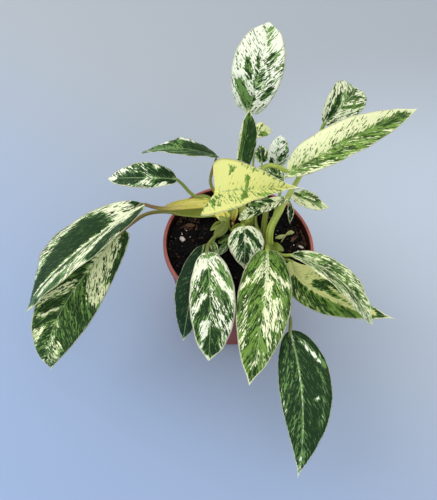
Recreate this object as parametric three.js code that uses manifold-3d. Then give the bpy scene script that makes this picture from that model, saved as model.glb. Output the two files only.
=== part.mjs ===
// A variegated philodendron in a 12 cm plastic nursery pot, in millimetres with +Z up.
// The origin is the centre of the pot's base, and the rim is round the Z axis.
// Three shoots stand in the soil, each one body of a short stem and its leaf stalks.
// Each leaf blade is a body of its own colours, with its midrib and the top of its stalk.

import * as THREE from 'three';
import { mergeVertices } from 'three/addons/utils/BufferGeometryUtils.js';
import Module from 'manifold-3d';

const wasm = await Module();
wasm.setup();

// Pot
const RIM_R = 60;
const RIM_H = 4;
const LIP = 1.1;
const BASE_R = 42.5;
const POT_H = 100;
const WALL = 1.4;
const FLOOR_T = 2;
const DRAIN_COUNT = 8;
const DRAIN_R = 4;
const DRAIN_RING = 29;
const DRAIN_SIDES = 16;
const POT_SIDES = 48;
const EASE = 0.5;

// Soil
const GAP = 0.3;
const SOIL_Z = 94;
const SOIL_SWELL = 1.2;
const SOIL_RINGS = 8;
const SOIL_SIDES = 32;
const YOUNG_HOLE_R = 1.6;
const SEEDLING_HOLE_R = 0.8;

// Blades and stalks
const BLADE_T = 0.8;
const LOBE_AT = 0.1;
const VEIN_SLANT = 0.35;
const WAVE_COUNT = 2.3;
const WAVE_SHIFT = 0.13;
const MARGIN_DROOP = 10;
const RIB_SINK = 0.15;
const RIB_SIDES = 5;
const RIB_THINS = 0.75;
const WIDE_RIB = 40;
const LONG_RIB = 60;
const STUB_LENGTHS = [5, 9];
const ROW_STEP = 11;
const STALK_STEP = 12;
const LONG_STALK = 60;
const STALK_SIDES = [6, 8];
const SHEATH_CUP = 0.7;
const SHEATH_BLUNT = 3;
const SHEATH_RINGS = [0.75, 0.92, 1];
const SHEATH_ROOM = 0.03;
const SHEATH_FOOT = 0.5;
const SHEATH_FULL = 0.25;
const STEM_FOOT = 84;
const STEM_SIDES = 12;
const STEM_CROWN = 4;
const JOIN = 0.4;

// Each leaf grows from a root point through its stalk's bends to the blade's base.
// half: the widths left and right of the midrib, seen from the base with the face up.
// fold: the rise of each half in degrees at the base and at the tip.
// swell and taper: how fast the outline widens from the base and narrows to the tip.
// sheath: how far the stalk's wings stand out, and the share of the stalk that they run along.
const LEAVES = {
  back_tall: {
    shoot: 'middle', bends: [[1, 26, 97.5], [-3, 40, 104], [-6, 56, 118], [-8, 67, 144]],
    base: [-9, 68, 174], mid: [-5, 74, 208], tip: [-4, 110, 222],
    half: [20, 17], face: [0, -1, 0.9], fold: [12, 16], swell: 0.63, taper: 0.59,
    lobe: 0.06, stalk: [2.2, 1.5], sheath: [1.5, 0.3], wave: 0.8, tint: 0xe6ead0,
  },
  back_narrow: {
    shoot: 'middle', bends: [[0, 24, 97.5], [-4, 31, 114]],
    base: [-9, 45, 138], mid: [-8, 51, 160], tip: [-8, 56, 185],
    half: [5, 13], face: [-0.2, -0.9, 0.7], fold: [46, 42], swell: 0.46, taper: 0.45,
    lobe: 0.05, stalk: [1.7, 1.2], wave: 0.5, tint: 0x2f5a3a,
  },
  back_tiny: {
    shoot: 'middle', bends: [[4, 26, 97.5], [3, 48, 108], [1, 66, 124]],
    base: [-1, 80, 140], mid: [4, 78, 147], tip: [12, 85, 143],
    half: [8, 5], face: [0, -0.5, 1], fold: [20, 16], swell: 0.7, taper: 0.79,
    lobe: 0.04, stalk: [1.2, 0.9], wave: 0.4, tint: 0xb9c25a,
  },
  back_oval: {
    shoot: 'right', bends: [[19, 9, 97.5], [11, 18, 104], [10, 29, 114], [14, 46, 122]],
    base: [20, 59, 130], mid: [20, 63, 144], tip: [19, 75, 149],
    half: [9, 8], face: [0, -1, 0.7], fold: [19, 23], swell: 0.56, taper: 0.8,
    lobe: 0.04, stalk: [1.4, 1], wave: 0.4, tint: 0xb8c4ae,
  },
  back_bud: {
    shoot: 'middle', bends: [[6, 24, 97.5], [9, 42, 106], [9, 56, 118]],
    base: [8, 63, 128], mid: [6, 67, 134], tip: [4, 73, 137],
    half: [5, 6], face: [0, -1, 0.7], fold: [19, 25], swell: 0.54, taper: 0.8,
    lobe: 0.04, stalk: [1.2, 0.9], wave: 0.3, tint: 0xc8cc90,
  },
  right_cupped: {
    shoot: 'right',
    bends: [[24, 5, 97.5], [23, 7, 103], [22.8, 10.6, 110], [24.4, 14.4, 116], [32, 27, 134], [44, 58, 145]],
    base: [53, 95, 150], mid: [67, 102, 172], tip: [72, 121, 170],
    half: [16, 14], face: [0.1, -0.8, 0.9], fold: [17, 17], swell: 0.65, taper: 0.57,
    lobe: 0.02, stalk: [2.4, 1.5], sheath: [0.9, 0.3], wave: 0.6, tint: 0xc3d0b4,
  },
  right_long: {
    shoot: 'right',
    bends: [[19, 7, 97.5], [17.5, 12, 111], [15.5, 17, 132], [8, 27, 148], [11, 35, 153], [20, 36, 153]],
    base: [28, 35, 150], mid: [62, 38, 186], tip: [112, 75, 194],
    half: [15, 17], face: [0, -0.25, 1], fold: [37, 35], swell: 0.63, taper: 0.89,
    lobe: 0.05, stalk: [2.4, 1.8], wave: 0.8, tint: 0xd8dc9a,
  },
  centre_yellow: {
    shoot: 'middle', bends: [[6, 21, 97.5], [6, 20, 108], [1, 14.5, 122], [-8, 8, 140]],
    base: [-22, -3, 158], mid: [8, -4, 171], tip: [39, 7, 166],
    half: [24, 23], face: [0, -0.25, 1], fold: [26, 52], swell: 0.3, taper: 1.74,
    lobe: 0.12, stalk: [2.4, 1.9], sheath: [1.6, 0.4], wave: 0.6, tint: 0xe4e08a,
  },
  left_upper: {
    shoot: 'left',
    bends: [[-14, 23, 97.5], [-26, 30.5, 101], [-45, 20.5, 108.5], [-61, 12.5, 112], [-70, 7, 118]],
    base: [-78, 4, 124], mid: [-121, -63, 123], tip: [-143, -84, 90],
    half: [27, 29], face: [-0.35, 0, 1], face1: [-0.9, 0, 0.6], fold: [26, 14],
    swell: 0.69, taper: 1, lobe: 0.02, stalk: [2, 1.4], sheath: [5.4, 0.72], wave: 0.5, tint: 0x59754f,
  },
  left_lower: {
    shoot: 'left',
    bends: [[-13, 20, 97.5], [-22, 26, 98.5], [-36, 21, 101], [-53, 17, 103], [-66, 13, 106], [-78, 4, 109]],
    base: [-89, -14, 111], mid: [-120, -84, 92], tip: [-125, -110, 48],
    half: [23, 20], face: [0.1, -0.2, 1], face1: [-0.2, -0.7, 0.6], fold: [0, 20],
    swell: 0.9, taper: 1.2, lobe: 0.06, stalk: [2, 1.4], sheath: [2.8, 0.5], wave: 0.6, tint: 0x5c7a4c,
  },
  left_oval: {
    shoot: 'left', bends: [[-13, 25, 97.5], [-31, 36, 103], [-40, 33, 107], [-46, 32, 113], [-51.5, 31, 122]],
    base: [-56, 27, 132], mid: [-82, 18, 137], tip: [-112, 28, 118],
    half: [9, 12], face: [0, -0.4, 1], fold: [24, 20], swell: 0.63, taper: 0.77,
    lobe: 0.03, stalk: [1.7, 1.2], sheath: [1.6, 0.5], wave: 0.6, tint: 0x56725c,
  },
  left_arched: {
    shoot: 'left', bends: [[-13, 25, 97.5], [-22, 38, 104], [-31, 44, 116]],
    base: [-28, 50, 140], mid: [-58, 42, 150], tip: [-89, 52, 128],
    half: [14, 12], face: [0, 0.25, 1], fold: [21, 24], swell: 0.55, taper: 0.59,
    lobe: 0.04, stalk: [1.6, 1.1], wave: 0.6, tint: 0x7d9272,
  },
  front_left: {
    shoot: 'left', bends: [[-13, 18, 97.5], [-15, 7.6, 102], [-19.7, -5.7, 108], [-22.2, -18.7, 116]],
    base: [-22, -31, 124], mid: [-13, -66, 113], tip: [-8, -93, 76],
    half: [18, 15], face: [0, -0.6, 1], face1: [0, -1, 0.6], fold: [5, 13],
    swell: 0.62, taper: 0.65, lobe: 0.03, stalk: [1.8, 1.4], sheath: [2.8, 0.42], wave: 0.8, tint: 0x8b9f7c,
  },
  front_dark: {
    shoot: 'left', bends: [[-14, 18, 97.5], [-16, 10.4, 98], [-19.8, 0.4, 99.5], [-22.8, -9.2, 103]],
    base: [-26, -14, 108], mid: [-28, -57, 105], tip: [-30, -76, 66],
    half: [12, 13], face: [-0.5, -0.6, 1], face1: [-0.3, -1, 0.5], fold: [27, 7],
    swell: 0.66, taper: 0.89, lobe: 0.03, stalk: [1.7, 1.2], wave: 0.6, tint: 0x233f38,
  },
  front_round: {
    shoot: 'middle', bends: [[1, 19, 97.5], [1, 15, 103]],
    base: [2, 7, 112], mid: [5, -9, 110], tip: [7, -23, 98],
    half: [15, 13.5], face: [0, -0.6, 1], fold: [5, 3], swell: 0.7, taper: 0.88,
    lobe: 0.07, stalk: [1.8, 1.3], wave: 0.5, tint: 0x71897a,
  },
  front_centre: {
    shoot: 'right', bends: [[22, 2, 97.5], [22, -3, 103]],
    base: [22.5, -11, 110], mid: [25, -61, 114], tip: [24, -105, 72],
    half: [19, 20], face: [0, -0.6, 1], face1: [0, -1, 0.6], fold: [14, 6],
    swell: 0.76, taper: 0.86, lobe: 0.05, stalk: [2.4, 1.8], wave: 0.8, tint: 0x7f9a58,
  },
  front_right: {
    shoot: 'right', bends: [[24, 1, 97.5], [27, -20, 101], [32, -38, 104], [40, -53, 105], [46, -62, 100]],
    base: [47, -67, 94], mid: [64, -112, 70], tip: [72, -150, 21],
    half: [22, 16], face: [0, -0.6, 1], face1: [0, -1, 0.5], fold: [1, 22],
    swell: 0.8, taper: 1.3, lobe: 0.03, stalk: [2, 1.3], wave: 0.8, tint: 0x47614f,
  },
  right_lower: {
    shoot: 'right', bends: [[26, 1, 97.5], [30, -6, 98.5], [35, -11.5, 102]],
    base: [42, -15, 108], mid: [66, -35, 101], tip: [132, -32, 76],
    half: [15, 15], face: [0, -0.5, 1], fold: [10, 20], swell: 0.95, taper: 1.2,
    lobe: 0.02, stalk: [1.6, 1.3], wave: 0.8, tint: 0x88a057,
  },
  right_folded: {
    shoot: 'right', bends: [[26, 1, 97.5], [29.5, -5, 101.5], [35, -12, 108.5]],
    base: [40, -17, 118], mid: [76, -34, 122], tip: [110, -46, 86],
    half: [10, 18], face: [0.4, -0.1, 1], fold: [48, 28], swell: 0.67, taper: 0.66,
    lobe: 0.02, stalk: [1.6, 1.3], wave: 0.6, tint: 0x93a98b,
  },
  right_small: {
    shoot: 'right', bends: [[24, 9, 97.5], [24.2, 20.7, 101], [28, 32.3, 106]],
    base: [37, 45, 116], mid: [52, 36, 120], tip: [69, 44, 108],
    half: [8, 8], face: [0.2, -0.3, 1], fold: [30, 12], swell: 0.52, taper: 1,
    lobe: 0.03, stalk: [1.5, 1.1], wave: 0.5, tint: 0xb4c184,
  },
  right_inner: {
    shoot: 'right', bends: [[24, 9, 97.5], [24.3, 19, 101], [31, 35, 113], [34, 34.6, 118]],
    base: [36, 32, 117], mid: [38, 32, 107], tip: [39, 30, 96],
    half: [3, 3], face: [-0.3, -0.8, 0.6], fold: [30, 31], swell: 0.52, taper: 0.89,
    lobe: 0.03, stalk: [1.2, 0.9], wave: 0.2, tint: 0x3a5a40,
  },
  centre_speckled: {
    shoot: 'right',
    bends: [[24, 8, 97.5], [23.5, 16.4, 104], [25.7, 22.6, 111], [32, 32, 124], [32.5, 27, 134]],
    base: [30, 18, 140], mid: [10, 3, 142], tip: [-3, -1, 130],
    half: [8, 5], face: [0, 0, 1], fold: [30, 29], swell: 0.65, taper: 0.58,
    lobe: 0.05, stalk: [1.8, 1.3], wave: 0.5, tint: 0xc8cf9a,
  },
  back_speckled: {
    shoot: 'right', bends: [[23, 9, 97.5], [23.2, 17, 101], [25, 28, 109], [26, 38, 124]],
    base: [26, 42, 137], mid: [16, 45, 137], tip: [5, 55, 131],
    half: [6, 6], face: [0, -0.4, 1], fold: [16, 29], swell: 0.56, taper: 0.79,
    lobe: 0.04, stalk: [1.4, 1], wave: 0.4, tint: 0xb3bd94,
  },
  new_pale: {
    shoot: 'left', bends: [[-13, 17, 97.5], [-16.7, 5.9, 101], [-18.9, -1, 103.4]],
    base: [-19.9, -8.7, 106], mid: [-17.7, -14.7, 106], tip: [-14.8, -19.3, 103],
    half: [3, 3], face: [0, -0.5, 1], fold: [20, 20], swell: 0.6, taper: 0.8,
    lobe: 0.03, stalk: [1.3, 0.9], wave: 0.2, tint: 0xc4d2a0,
  },
  new_green: {
    shoot: 'middle', bends: [[0, 19, 97.5], [-4, 12, 100]],
    base: [-8, 3, 102], mid: [-12, -0.5, 100.5], tip: [-16, -3.5, 98.5],
    half: [3, 3], face: [0, -0.6, 1], fold: [20, 20], swell: 0.6, taper: 0.8,
    lobe: 0.03, stalk: [1.3, 0.9], wave: 0.2, tint: 0x5d7d45,
  },
  new_white: {
    shoot: 'middle', bends: [[1, 18, 97.5], [-4, 7, 98.5]],
    base: [-8.5, -3.4, 99.4], mid: [-11.4, -8.4, 98.8], tip: [-14.2, -13.8, 97],
    half: [3, 3], face: [0, -0.6, 1], fold: [15, 15], swell: 0.6, taper: 0.8,
    lobe: 0.03, stalk: [1.3, 0.9], wave: 0.2, tint: 0xd6dec4,
  },
  young_orange: {
    shoot: 'none', bends: [[-6.5, 18.5, 89], [-6.8, 18.7, 93]],
    base: [-7.4, 19.3, 97.5], mid: [-6.9, 21, 105], tip: [-5.8, 24, 113],
    half: [2.3, 2.3], face: [0, -1, 0.5], fold: [30, 40], swell: 0.9, taper: 0.4,
    lobe: 0, stalk: [1.1, 1], wave: 0, tint: 0xc8642c,
  },
};

// Each shoot's stem: its foot, radius and top
const SHOOTS = {
  left: { foot: [-14, 20.5], radius: 5, top: 100, color: 0x8f9e42 },
  middle: { foot: [3, 22], radius: 5, top: 100, color: 0xa3b04a },
  right: { foot: [24, 6], radius: 6, top: 100, color: 0x9db352 },
};

// The lumps of grit and bark: centre, half sizes and turn
const CRUMBS = {
  perlite_left: { at: [-45, -3, 95.6], size: [2.7, 2.1, 1.9], turn: -0.5, color: 0xe9ded3 },
  perlite_right: { at: [50, 8.5, 95.2], size: [2.5, 1.1, 1.2], turn: -0.3, color: 0xcfae9f },
  bark_left: { at: [-41.5, 12, 95.3], size: [4.2, 2.2, 1.4], turn: 0.2, color: 0x6b4a31 },
  bark_right: { at: [43, 15, 95.2], size: [3.4, 2, 1.4], turn: 1, color: 0x5a3d2c },
};

// The points of the seedling's stem and of its two seed leaves
const SEEDLING = {
  stem: [[34, 11, 90], [34, 11, 95], [36.5, 15.5, 98.5]],
  pads: [
    [[36.5, 15.5, 98.5], [39.5, 18, 99.2], [43, 19.5, 98.5]],
    [[36.5, 15.5, 98.5], [32.5, 13, 98.2], [28.5, 12, 97]],
  ],
};

const vec = (p) => new THREE.Vector3(...p);
const rad = THREE.MathUtils.degToRad;
const steps = (n) => Array.from({ length: n + 1 }, (unused, i) => i / n);

// Indexed triangles to a geometry, and to and from a solid
function meshGeometry(points, faces) {
  const geometry = new THREE.BufferGeometry();
  geometry.setAttribute('position', new THREE.Float32BufferAttribute(points.flat(), 3));
  geometry.setIndex(faces.flat());
  return geometry;
}

function toSolid(geometry) {
  const bare = geometry.clone();
  bare.deleteAttribute('normal');
  bare.deleteAttribute('uv');
  const merged = mergeVertices(bare, 1e-4);
  return new wasm.Manifold(new wasm.Mesh({
    numProp: 3,
    vertProperties: new Float32Array(merged.attributes.position.array),
    triVerts: new Uint32Array(merged.index.array),
  }));
}

function toGeometry(solid) {
  const mesh = solid.getMesh();
  const geometry = new THREE.BufferGeometry();
  geometry.setAttribute('position', new THREE.BufferAttribute(mesh.vertProperties, 3));
  geometry.setIndex(new THREE.BufferAttribute(mesh.triVerts, 1));
  geometry.computeVertexNormals();
  return geometry;
}

function node(name, geometry, color, roughness) {
  const material = new THREE.MeshStandardMaterial({ color, roughness, metalness: 0 });
  const mesh = new THREE.Mesh(geometry, material);
  mesh.name = name;
  return mesh;
}

// The midrib is a parabola through the base, the middle point and the tip
function midrib(leaf) {
  const [a, m, b] = [vec(leaf.base), vec(leaf.mid), vec(leaf.tip)];
  const c = m.clone().multiplyScalar(2).addScaledVector(a, -0.5).addScaledVector(b, -0.5);
  return new THREE.QuadraticBezierCurve3(a, c, b);
}

function stalkPath(leaf) {
  return new THREE.CatmullRomCurve3([...leaf.bends, leaf.base].map(vec), false, 'catmullrom', 0.5);
}

// The face direction square to a tangent, turning from face to face1 along the blade
function faceAt(leaf, t, tangent) {
  const face = vec(leaf.face).lerp(vec(leaf.face1 ?? leaf.face), t);
  return face.addScaledVector(tangent, -face.dot(tangent)).normalize();
}

// Length of the stalk's top that is one body with the blade
const stubLength = (leaf) => STUB_LENGTHS[midrib(leaf).getLength() > LONG_RIB ? 1 : 0];

// Outline width at t: t^swell (1 - t)^taper, scaled to 1 at its widest
function outline(t, swell, taper) {
  const widest = swell / (swell + taper);
  const peak = widest ** swell * (1 - widest) ** taper;
  return t ** swell * (1 - t) ** taper / peak;
}

// Where on the midrib the side vein that reaches the margin at t starts
const veinFoot = (t) => t - VEIN_SLANT * t * (1 - t);

// One point of the blade's middle surface: t runs from base to tip along the margin,
// and side from -1 on the left margin over 0 on the midrib to 1 on the right margin
function bladePoint(leaf, rib, t, side) {
  const q = Math.abs(side);
  const width = q * leaf.half[side < 0 ? 0 : 1] * outline(t, leaf.swell, leaf.taper);
  const margin = t - leaf.lobe * (t / LOBE_AT) * Math.exp(1 - t / LOBE_AT);
  const vein = veinFoot(t);
  const u = vein * (1 - q) + margin * q;
  const on = THREE.MathUtils.clamp(u, 0, 1);
  const tangent = rib.getTangent(on);
  const up = faceAt(leaf, on, tangent);
  const across = new THREE.Vector3().crossVectors(tangent, up);
  const rise = rad(leaf.fold[0] + (leaf.fold[1] - leaf.fold[0]) * on - MARGIN_DROOP * q);
  const waves = Math.sin(2 * Math.PI * (WAVE_COUNT * t + WAVE_SHIFT * Math.sign(side)));
  const wave = leaf.wave * q * q * waves * Math.sin(Math.PI * t);
  const point = rib.getPoint(on);
  if (u < 0) {
    point.addScaledVector(tangent, u * rib.getLength());
  }
  point.addScaledVector(across, Math.sign(side) * width * Math.cos(rise));
  return point.addScaledVector(up, width * Math.sin(rise) + wave);
}

const bladeRows = (length) => Math.max(5, Math.round(length / ROW_STEP));

// A closed sheet over a grid of points, with its faces split alike
function bladeSheet(leaf) {
  const rib = midrib(leaf);
  const length = rib.getLength();
  const rows = bladeRows(length);
  const halfColumns = length > WIDE_RIB ? 3 : 2;
  const columns = 2 * halfColumns;
  const grid = [rib.getPoint(0)];
  for (let i = 1; i < rows; i++) {
    for (let j = 0; j <= columns; j++) {
      grid.push(bladePoint(leaf, rib, i / rows, j / halfColumns - 1));
    }
  }
  grid.push(rib.getPoint(1));
  const last = grid.length - 1;
  const at = (i, j) => 1 + (i - 1) * (columns + 1) + j;
  const faces = [];
  for (let j = 0; j < columns; j++) {
    faces.push([0, at(1, j + 1), at(1, j)]);
    faces.push([last, at(rows - 1, j), at(rows - 1, j + 1)]);
    for (let i = 1; i < rows - 1; i++) {
      const [a, b, c, d] = [at(i, j), at(i, j + 1), at(i + 1, j), at(i + 1, j + 1)];
      const outward = j < halfColumns;
      faces.push(...(outward ? [[a, b, c], [b, d, c]] : [[a, b, d], [a, d, c]]));
    }
  }
  const normals = sheetNormals(grid, faces);
  const shift = (k) => (p, i) => p.clone().addScaledVector(normals[i], k * BLADE_T / 2).toArray();
  const points = [...grid.map(shift(1)), ...grid.map(shift(-1))];
  const low = grid.length;
  const under = faces.map(([a, b, c]) => [a + low, c + low, b + low]);
  const left = steps(rows - 2).map((unused, i) => at(i + 1, 0));
  const right = steps(rows - 2).map((unused, i) => at(rows - 1 - i, columns));
  const loop = [0, ...left, last, ...right];
  const wall = loop.flatMap((a, i) => {
    const b = loop[(i + 1) % loop.length];
    return [[a, b, a + low], [b, b + low, a + low]];
  });
  return meshGeometry(points, [...faces, ...under, ...wall]);
}

function sheetNormals(points, faces) {
  const normals = points.map(() => new THREE.Vector3());
  for (const [a, b, c] of faces) {
    const ab = points[b].clone().sub(points[a]);
    const ac = points[c].clone().sub(points[a]);
    const normal = ab.cross(ac);
    [a, b, c].forEach((i) => normals[i].add(normal));
  }
  return normals.map((n) => n.normalize());
}

// A closed tube through a list of centres with their tangents and up directions:
// radii give its half height at each, and wings how far its sides stand out,
// cupped like the channel of a leaf sheath
function tube(centres, tangents, ups, radii, wings, sides) {
  const points = [];
  centres.forEach((centre, i) => {
    const tangent = tangents[i];
    const up = ups[i].clone().addScaledVector(tangent, -ups[i].dot(tangent)).normalize();
    const across = new THREE.Vector3().crossVectors(tangent, up);
    for (let j = 0; j < sides; j++) {
      const turn = 2 * Math.PI * j / sides;
      const x = (radii[i] + wings[i]) * Math.cos(turn);
      const y = radii[i] * Math.sin(turn) + SHEATH_CUP * wings[i] * Math.cos(turn) ** 2;
      points.push(centre.clone().addScaledVector(across, x).addScaledVector(up, y).toArray());
    }
  });
  const faces = [];
  const last = points.length - sides;
  for (let j = 0; j < sides; j++) {
    const k = (j + 1) % sides;
    for (let i = 0; i < last; i += sides) {
      faces.push([i + j, i + sides + k, i + k], [i + j, i + sides + j, i + sides + k]);
    }
    if (j > 0 && k > 0) {
      faces.push([0, j, k], [last, last + k, last + j]);
    }
  }
  return toSolid(meshGeometry(points, faces));
}

// The blade with its midrib below it and the last stretch of its stalk
function blade(leaf) {
  const rib = midrib(leaf);
  const length = rib.getLength();
  const stalk = stalkPath(leaf);
  const ends = [1, 0.5].map((k) => 1 - k * stubLength(leaf) / stalk.getLength());
  const along = steps(bladeRows(length)).slice(0, -1).map(veinFoot);
  const tipR = leaf.stalk[1];
  const centres = [...ends.map((t) => stalk.getPointAt(t)), ...along.map((t) => {
    const drop = tipR * (1 - t) / 2 + RIB_SINK;
    return rib.getPoint(t).addScaledVector(faceAt(leaf, t, rib.getTangent(t)), -drop);
  })];
  const tangents = [
    ...ends.map((t) => stalk.getTangentAt(t)),
    ...along.map((t) => rib.getTangent(t)),
  ];
  const [face, face1] = [vec(leaf.face), vec(leaf.face1 ?? leaf.face)];
  const ups = centres.map((unused, i) => face.clone().lerp(face1, along[i - 2] ?? 0));
  const radii = [tipR, tipR, ...along.map((t) => tipR * (1 - RIB_THINS * t))];
  const ridge = tube(centres, tangents, ups, radii, radii.map(() => 0), RIB_SIDES);
  return toGeometry(toSolid(bladeSheet(leaf)).add(ridge));
}

function stalk(leaf) {
  const path = stalkPath(leaf);
  const length = path.getLength();
  const end = 1 - (stubLength(leaf) + JOIN) / length;
  const [wing, stop] = leaf.sheath ?? [0, 1];
  const edges = wing > 0 ? SHEATH_RINGS.map((share) => share * stop) : [];
  const even = steps(Math.max(4, Math.round(length / STALK_STEP))).map((t) => t * end);
  const clear = even.filter((t) => edges.every((edge) => Math.abs(t - edge) > SHEATH_ROOM));
  const at = [...clear, ...edges].sort((a, b) => a - b);
  const centres = at.map((t) => path.getPointAt(t));
  const tangents = at.map((t) => path.getTangentAt(t));
  const ups = centres.map(() => vec(leaf.face));
  const radii = at.map((t) => leaf.stalk[0] + (leaf.stalk[1] - leaf.stalk[0]) * t);
  const wings = at.map((t) => {
    const opened = THREE.MathUtils.lerp(SHEATH_FOOT, 1, Math.min(t / SHEATH_FULL, 1));
    return wing * opened * Math.sqrt(Math.max(0, 1 - (t / stop) ** SHEATH_BLUNT));
  });
  const sides = STALK_SIDES[length > LONG_STALK || wing > 0 ? 1 : 0];
  return tube(centres, tangents, ups, radii, wings, sides);
}

function stem({ foot, radius, top }) {
  const profile = [
    [0, STEM_FOOT], [radius, STEM_FOOT], [radius, top - STEM_CROWN],
    [radius * 0.7, top - STEM_CROWN / 4], [0, top],
  ];
  return turned(profile, STEM_SIDES).translate([...foot, 0]);
}

// One solid of a stem and every stalk that grows from it
function shoot(name) {
  const grown = Object.values(LEAVES).filter((leaf) => leaf.shoot === name).map(stalk);
  return toGeometry(wasm.Manifold.union([stem(SHOOTS[name]), ...grown]));
}

// A solid turned from a profile of radius and height, bottom first
function turned(profile, sides) {
  const geometry = new THREE.LatheGeometry(profile.map(([r, z]) => new THREE.Vector2(r, z)), sides);
  return toSolid(geometry.rotateX(Math.PI / 2));
}

const potRadius = (z) => BASE_R + (RIM_R - LIP - BASE_R) * z / POT_H;

function pot() {
  const under = POT_H - RIM_H;
  const inside = potRadius(POT_H) - WALL;
  const wall = turned([
    [0, 0], [BASE_R - 2 * EASE, 0], [BASE_R, 2 * EASE], [potRadius(under), under], [RIM_R, under + EASE],
    [RIM_R, POT_H - EASE], [RIM_R - EASE, POT_H], [inside + EASE, POT_H], [inside, POT_H - EASE],
    [potRadius(FLOOR_T) - WALL, FLOOR_T], [0, FLOOR_T],
  ], POT_SIDES);
  const hole = turned([[0, -1], [DRAIN_R, -1], [DRAIN_R, FLOOR_T + 1], [0, FLOOR_T + 1]], DRAIN_SIDES);
  const holes = steps(DRAIN_COUNT - 1).map((unused, i) => {
    const turn = 2 * Math.PI * i / DRAIN_COUNT;
    return hole.translate([DRAIN_RING * Math.cos(turn), DRAIN_RING * Math.sin(turn), 0]);
  });
  return toGeometry(wall.subtract(wasm.Manifold.union(holes)));
}

// Height of the crumbled soil at a place, as three crossing swells
function soilHeight(x, y) {
  const swells = Math.sin(x / 7.3 + 1.2) * Math.cos(y / 6.1) + 0.7 * Math.sin((x + y) / 3.9)
    + 0.5 * Math.cos((x - 1.6 * y) / 2.7);
  return SOIL_Z + SOIL_SWELL * swells / 2;
}

function soil(sunk) {
  const radius = (z) => potRadius(z) - WALL - GAP - 0.1;
  const floor = FLOOR_T + GAP;
  const points = [[0, 0, soilHeight(0, 0)]];
  for (let i = 1; i <= SOIL_RINGS; i++) {
    for (let j = 0; j < SOIL_SIDES; j++) {
      const turn = 2 * Math.PI * (j + (i % 2) / 2) / SOIL_SIDES;
      const r = radius(SOIL_Z - 2) * i / SOIL_RINGS;
      const [x, y] = [r * Math.cos(turn), r * Math.sin(turn)];
      points.push([x, y, soilHeight(x, y)]);
    }
  }
  const rim = points.length - SOIL_SIDES;
  for (let j = 0; j < SOIL_SIDES; j++) {
    const [x, y] = points[rim + j];
    const k = radius(floor) / Math.hypot(x, y);
    points.push([x * k, y * k, floor]);
  }
  points.push([0, 0, floor]);
  const faces = [];
  for (let j = 0; j < SOIL_SIDES; j++) {
    const k = (j + 1) % SOIL_SIDES;
    faces.push([0, 1 + j, 1 + k]);
    for (let a = 1; a <= rim; a += SOIL_SIDES) {
      faces.push([a + j, a + SOIL_SIDES + j, a + SOIL_SIDES + k], [a + j, a + SOIL_SIDES + k, a + k]);
    }
    faces.push([points.length - 1, rim + SOIL_SIDES + k, rim + SOIL_SIDES + j]);
  }
  return toGeometry(toSolid(meshGeometry(points, faces)).subtract(wasm.Manifold.union(sunk)));
}

// Plain holes in the soil, one round each shoot's stem and the young leaf's foot
function holes() {
  const bore = ([x, y], radius, foot) => turned([
    [0, foot - GAP], [radius + JOIN, foot - GAP], [radius + JOIN, POT_H], [0, POT_H],
  ], STEM_SIDES).translate([x, y, 0]);
  const [x, y, z] = LEAVES.young_orange.bends[0];
  return [
    ...Object.values(SHOOTS).map(({ foot, radius }) => bore(foot, radius, STEM_FOOT)),
    bore([x, y], YOUNG_HOLE_R, z - 1),
    bore(SEEDLING.stem[0], SEEDLING_HOLE_R, SEEDLING.stem[0][2]),
    ...Object.values(CRUMBS).map((lump) => crumb(lump, GAP)),
  ];
}

// A squashed icosahedron, turned and part sunk in the soil
function crumb({ at, size, turn }, grow = 0) {
  const lump = new THREE.IcosahedronGeometry(1, 1);
  lump.scale(...size.map((s) => s + grow));
  return toSolid(lump.rotateZ(turn).translate(...at));
}

// Two seed leaves on a bent thread of stem
function seedling() {
  const strand = (points, radii, wings) => {
    const path = new THREE.CatmullRomCurve3(points.map(vec), false, 'catmullrom', 0.5);
    const at = steps(radii.length - 1);
    const ups = at.map(() => new THREE.Vector3(0.1, -0.4, 1));
    return tube(at.map((t) => path.getPoint(t)), at.map((t) => path.getTangent(t)), ups, radii, wings, 6);
  };
  const pads = SEEDLING.pads.map((pad) => strand(pad, [0.5, 0.45, 0.4, 0.4], [0, 1, 1.3, 0.4]));
  const thread = strand(SEEDLING.stem, [0.6, 0.6, 0.5, 0.5], [0, 0, 0, 0]);
  return toGeometry(wasm.Manifold.union([thread, ...pads]));
}

const object = new THREE.Group();
object.add(node('pot', pot(), 0xa8503f, 0.45));
object.add(node('soil', soil(holes()), 0x1d1714, 0.95));
for (const [name, lump] of Object.entries(CRUMBS)) {
  object.add(node(name, toGeometry(crumb(lump)), lump.color, 0.9));
}
object.add(node('seedling', seedling(), 0xb7b86a, 0.6));
for (const [name, { color }] of Object.entries(SHOOTS)) {
  object.add(node(`shoot_${name}`, shoot(name), color, 0.5));
}
for (const [name, leaf] of Object.entries(LEAVES)) {
  object.add(node(`leaf_${name}`, blade(leaf), leaf.tint, 0.4));
}

export default object;
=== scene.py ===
"""The looks of a variegated philodendron in a 12 cm nursery pot, in metres with +Z up.

The blades, stalks, pot and potting mix are surfaces worked out on grids and carried along paths.
"""

import math

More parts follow.
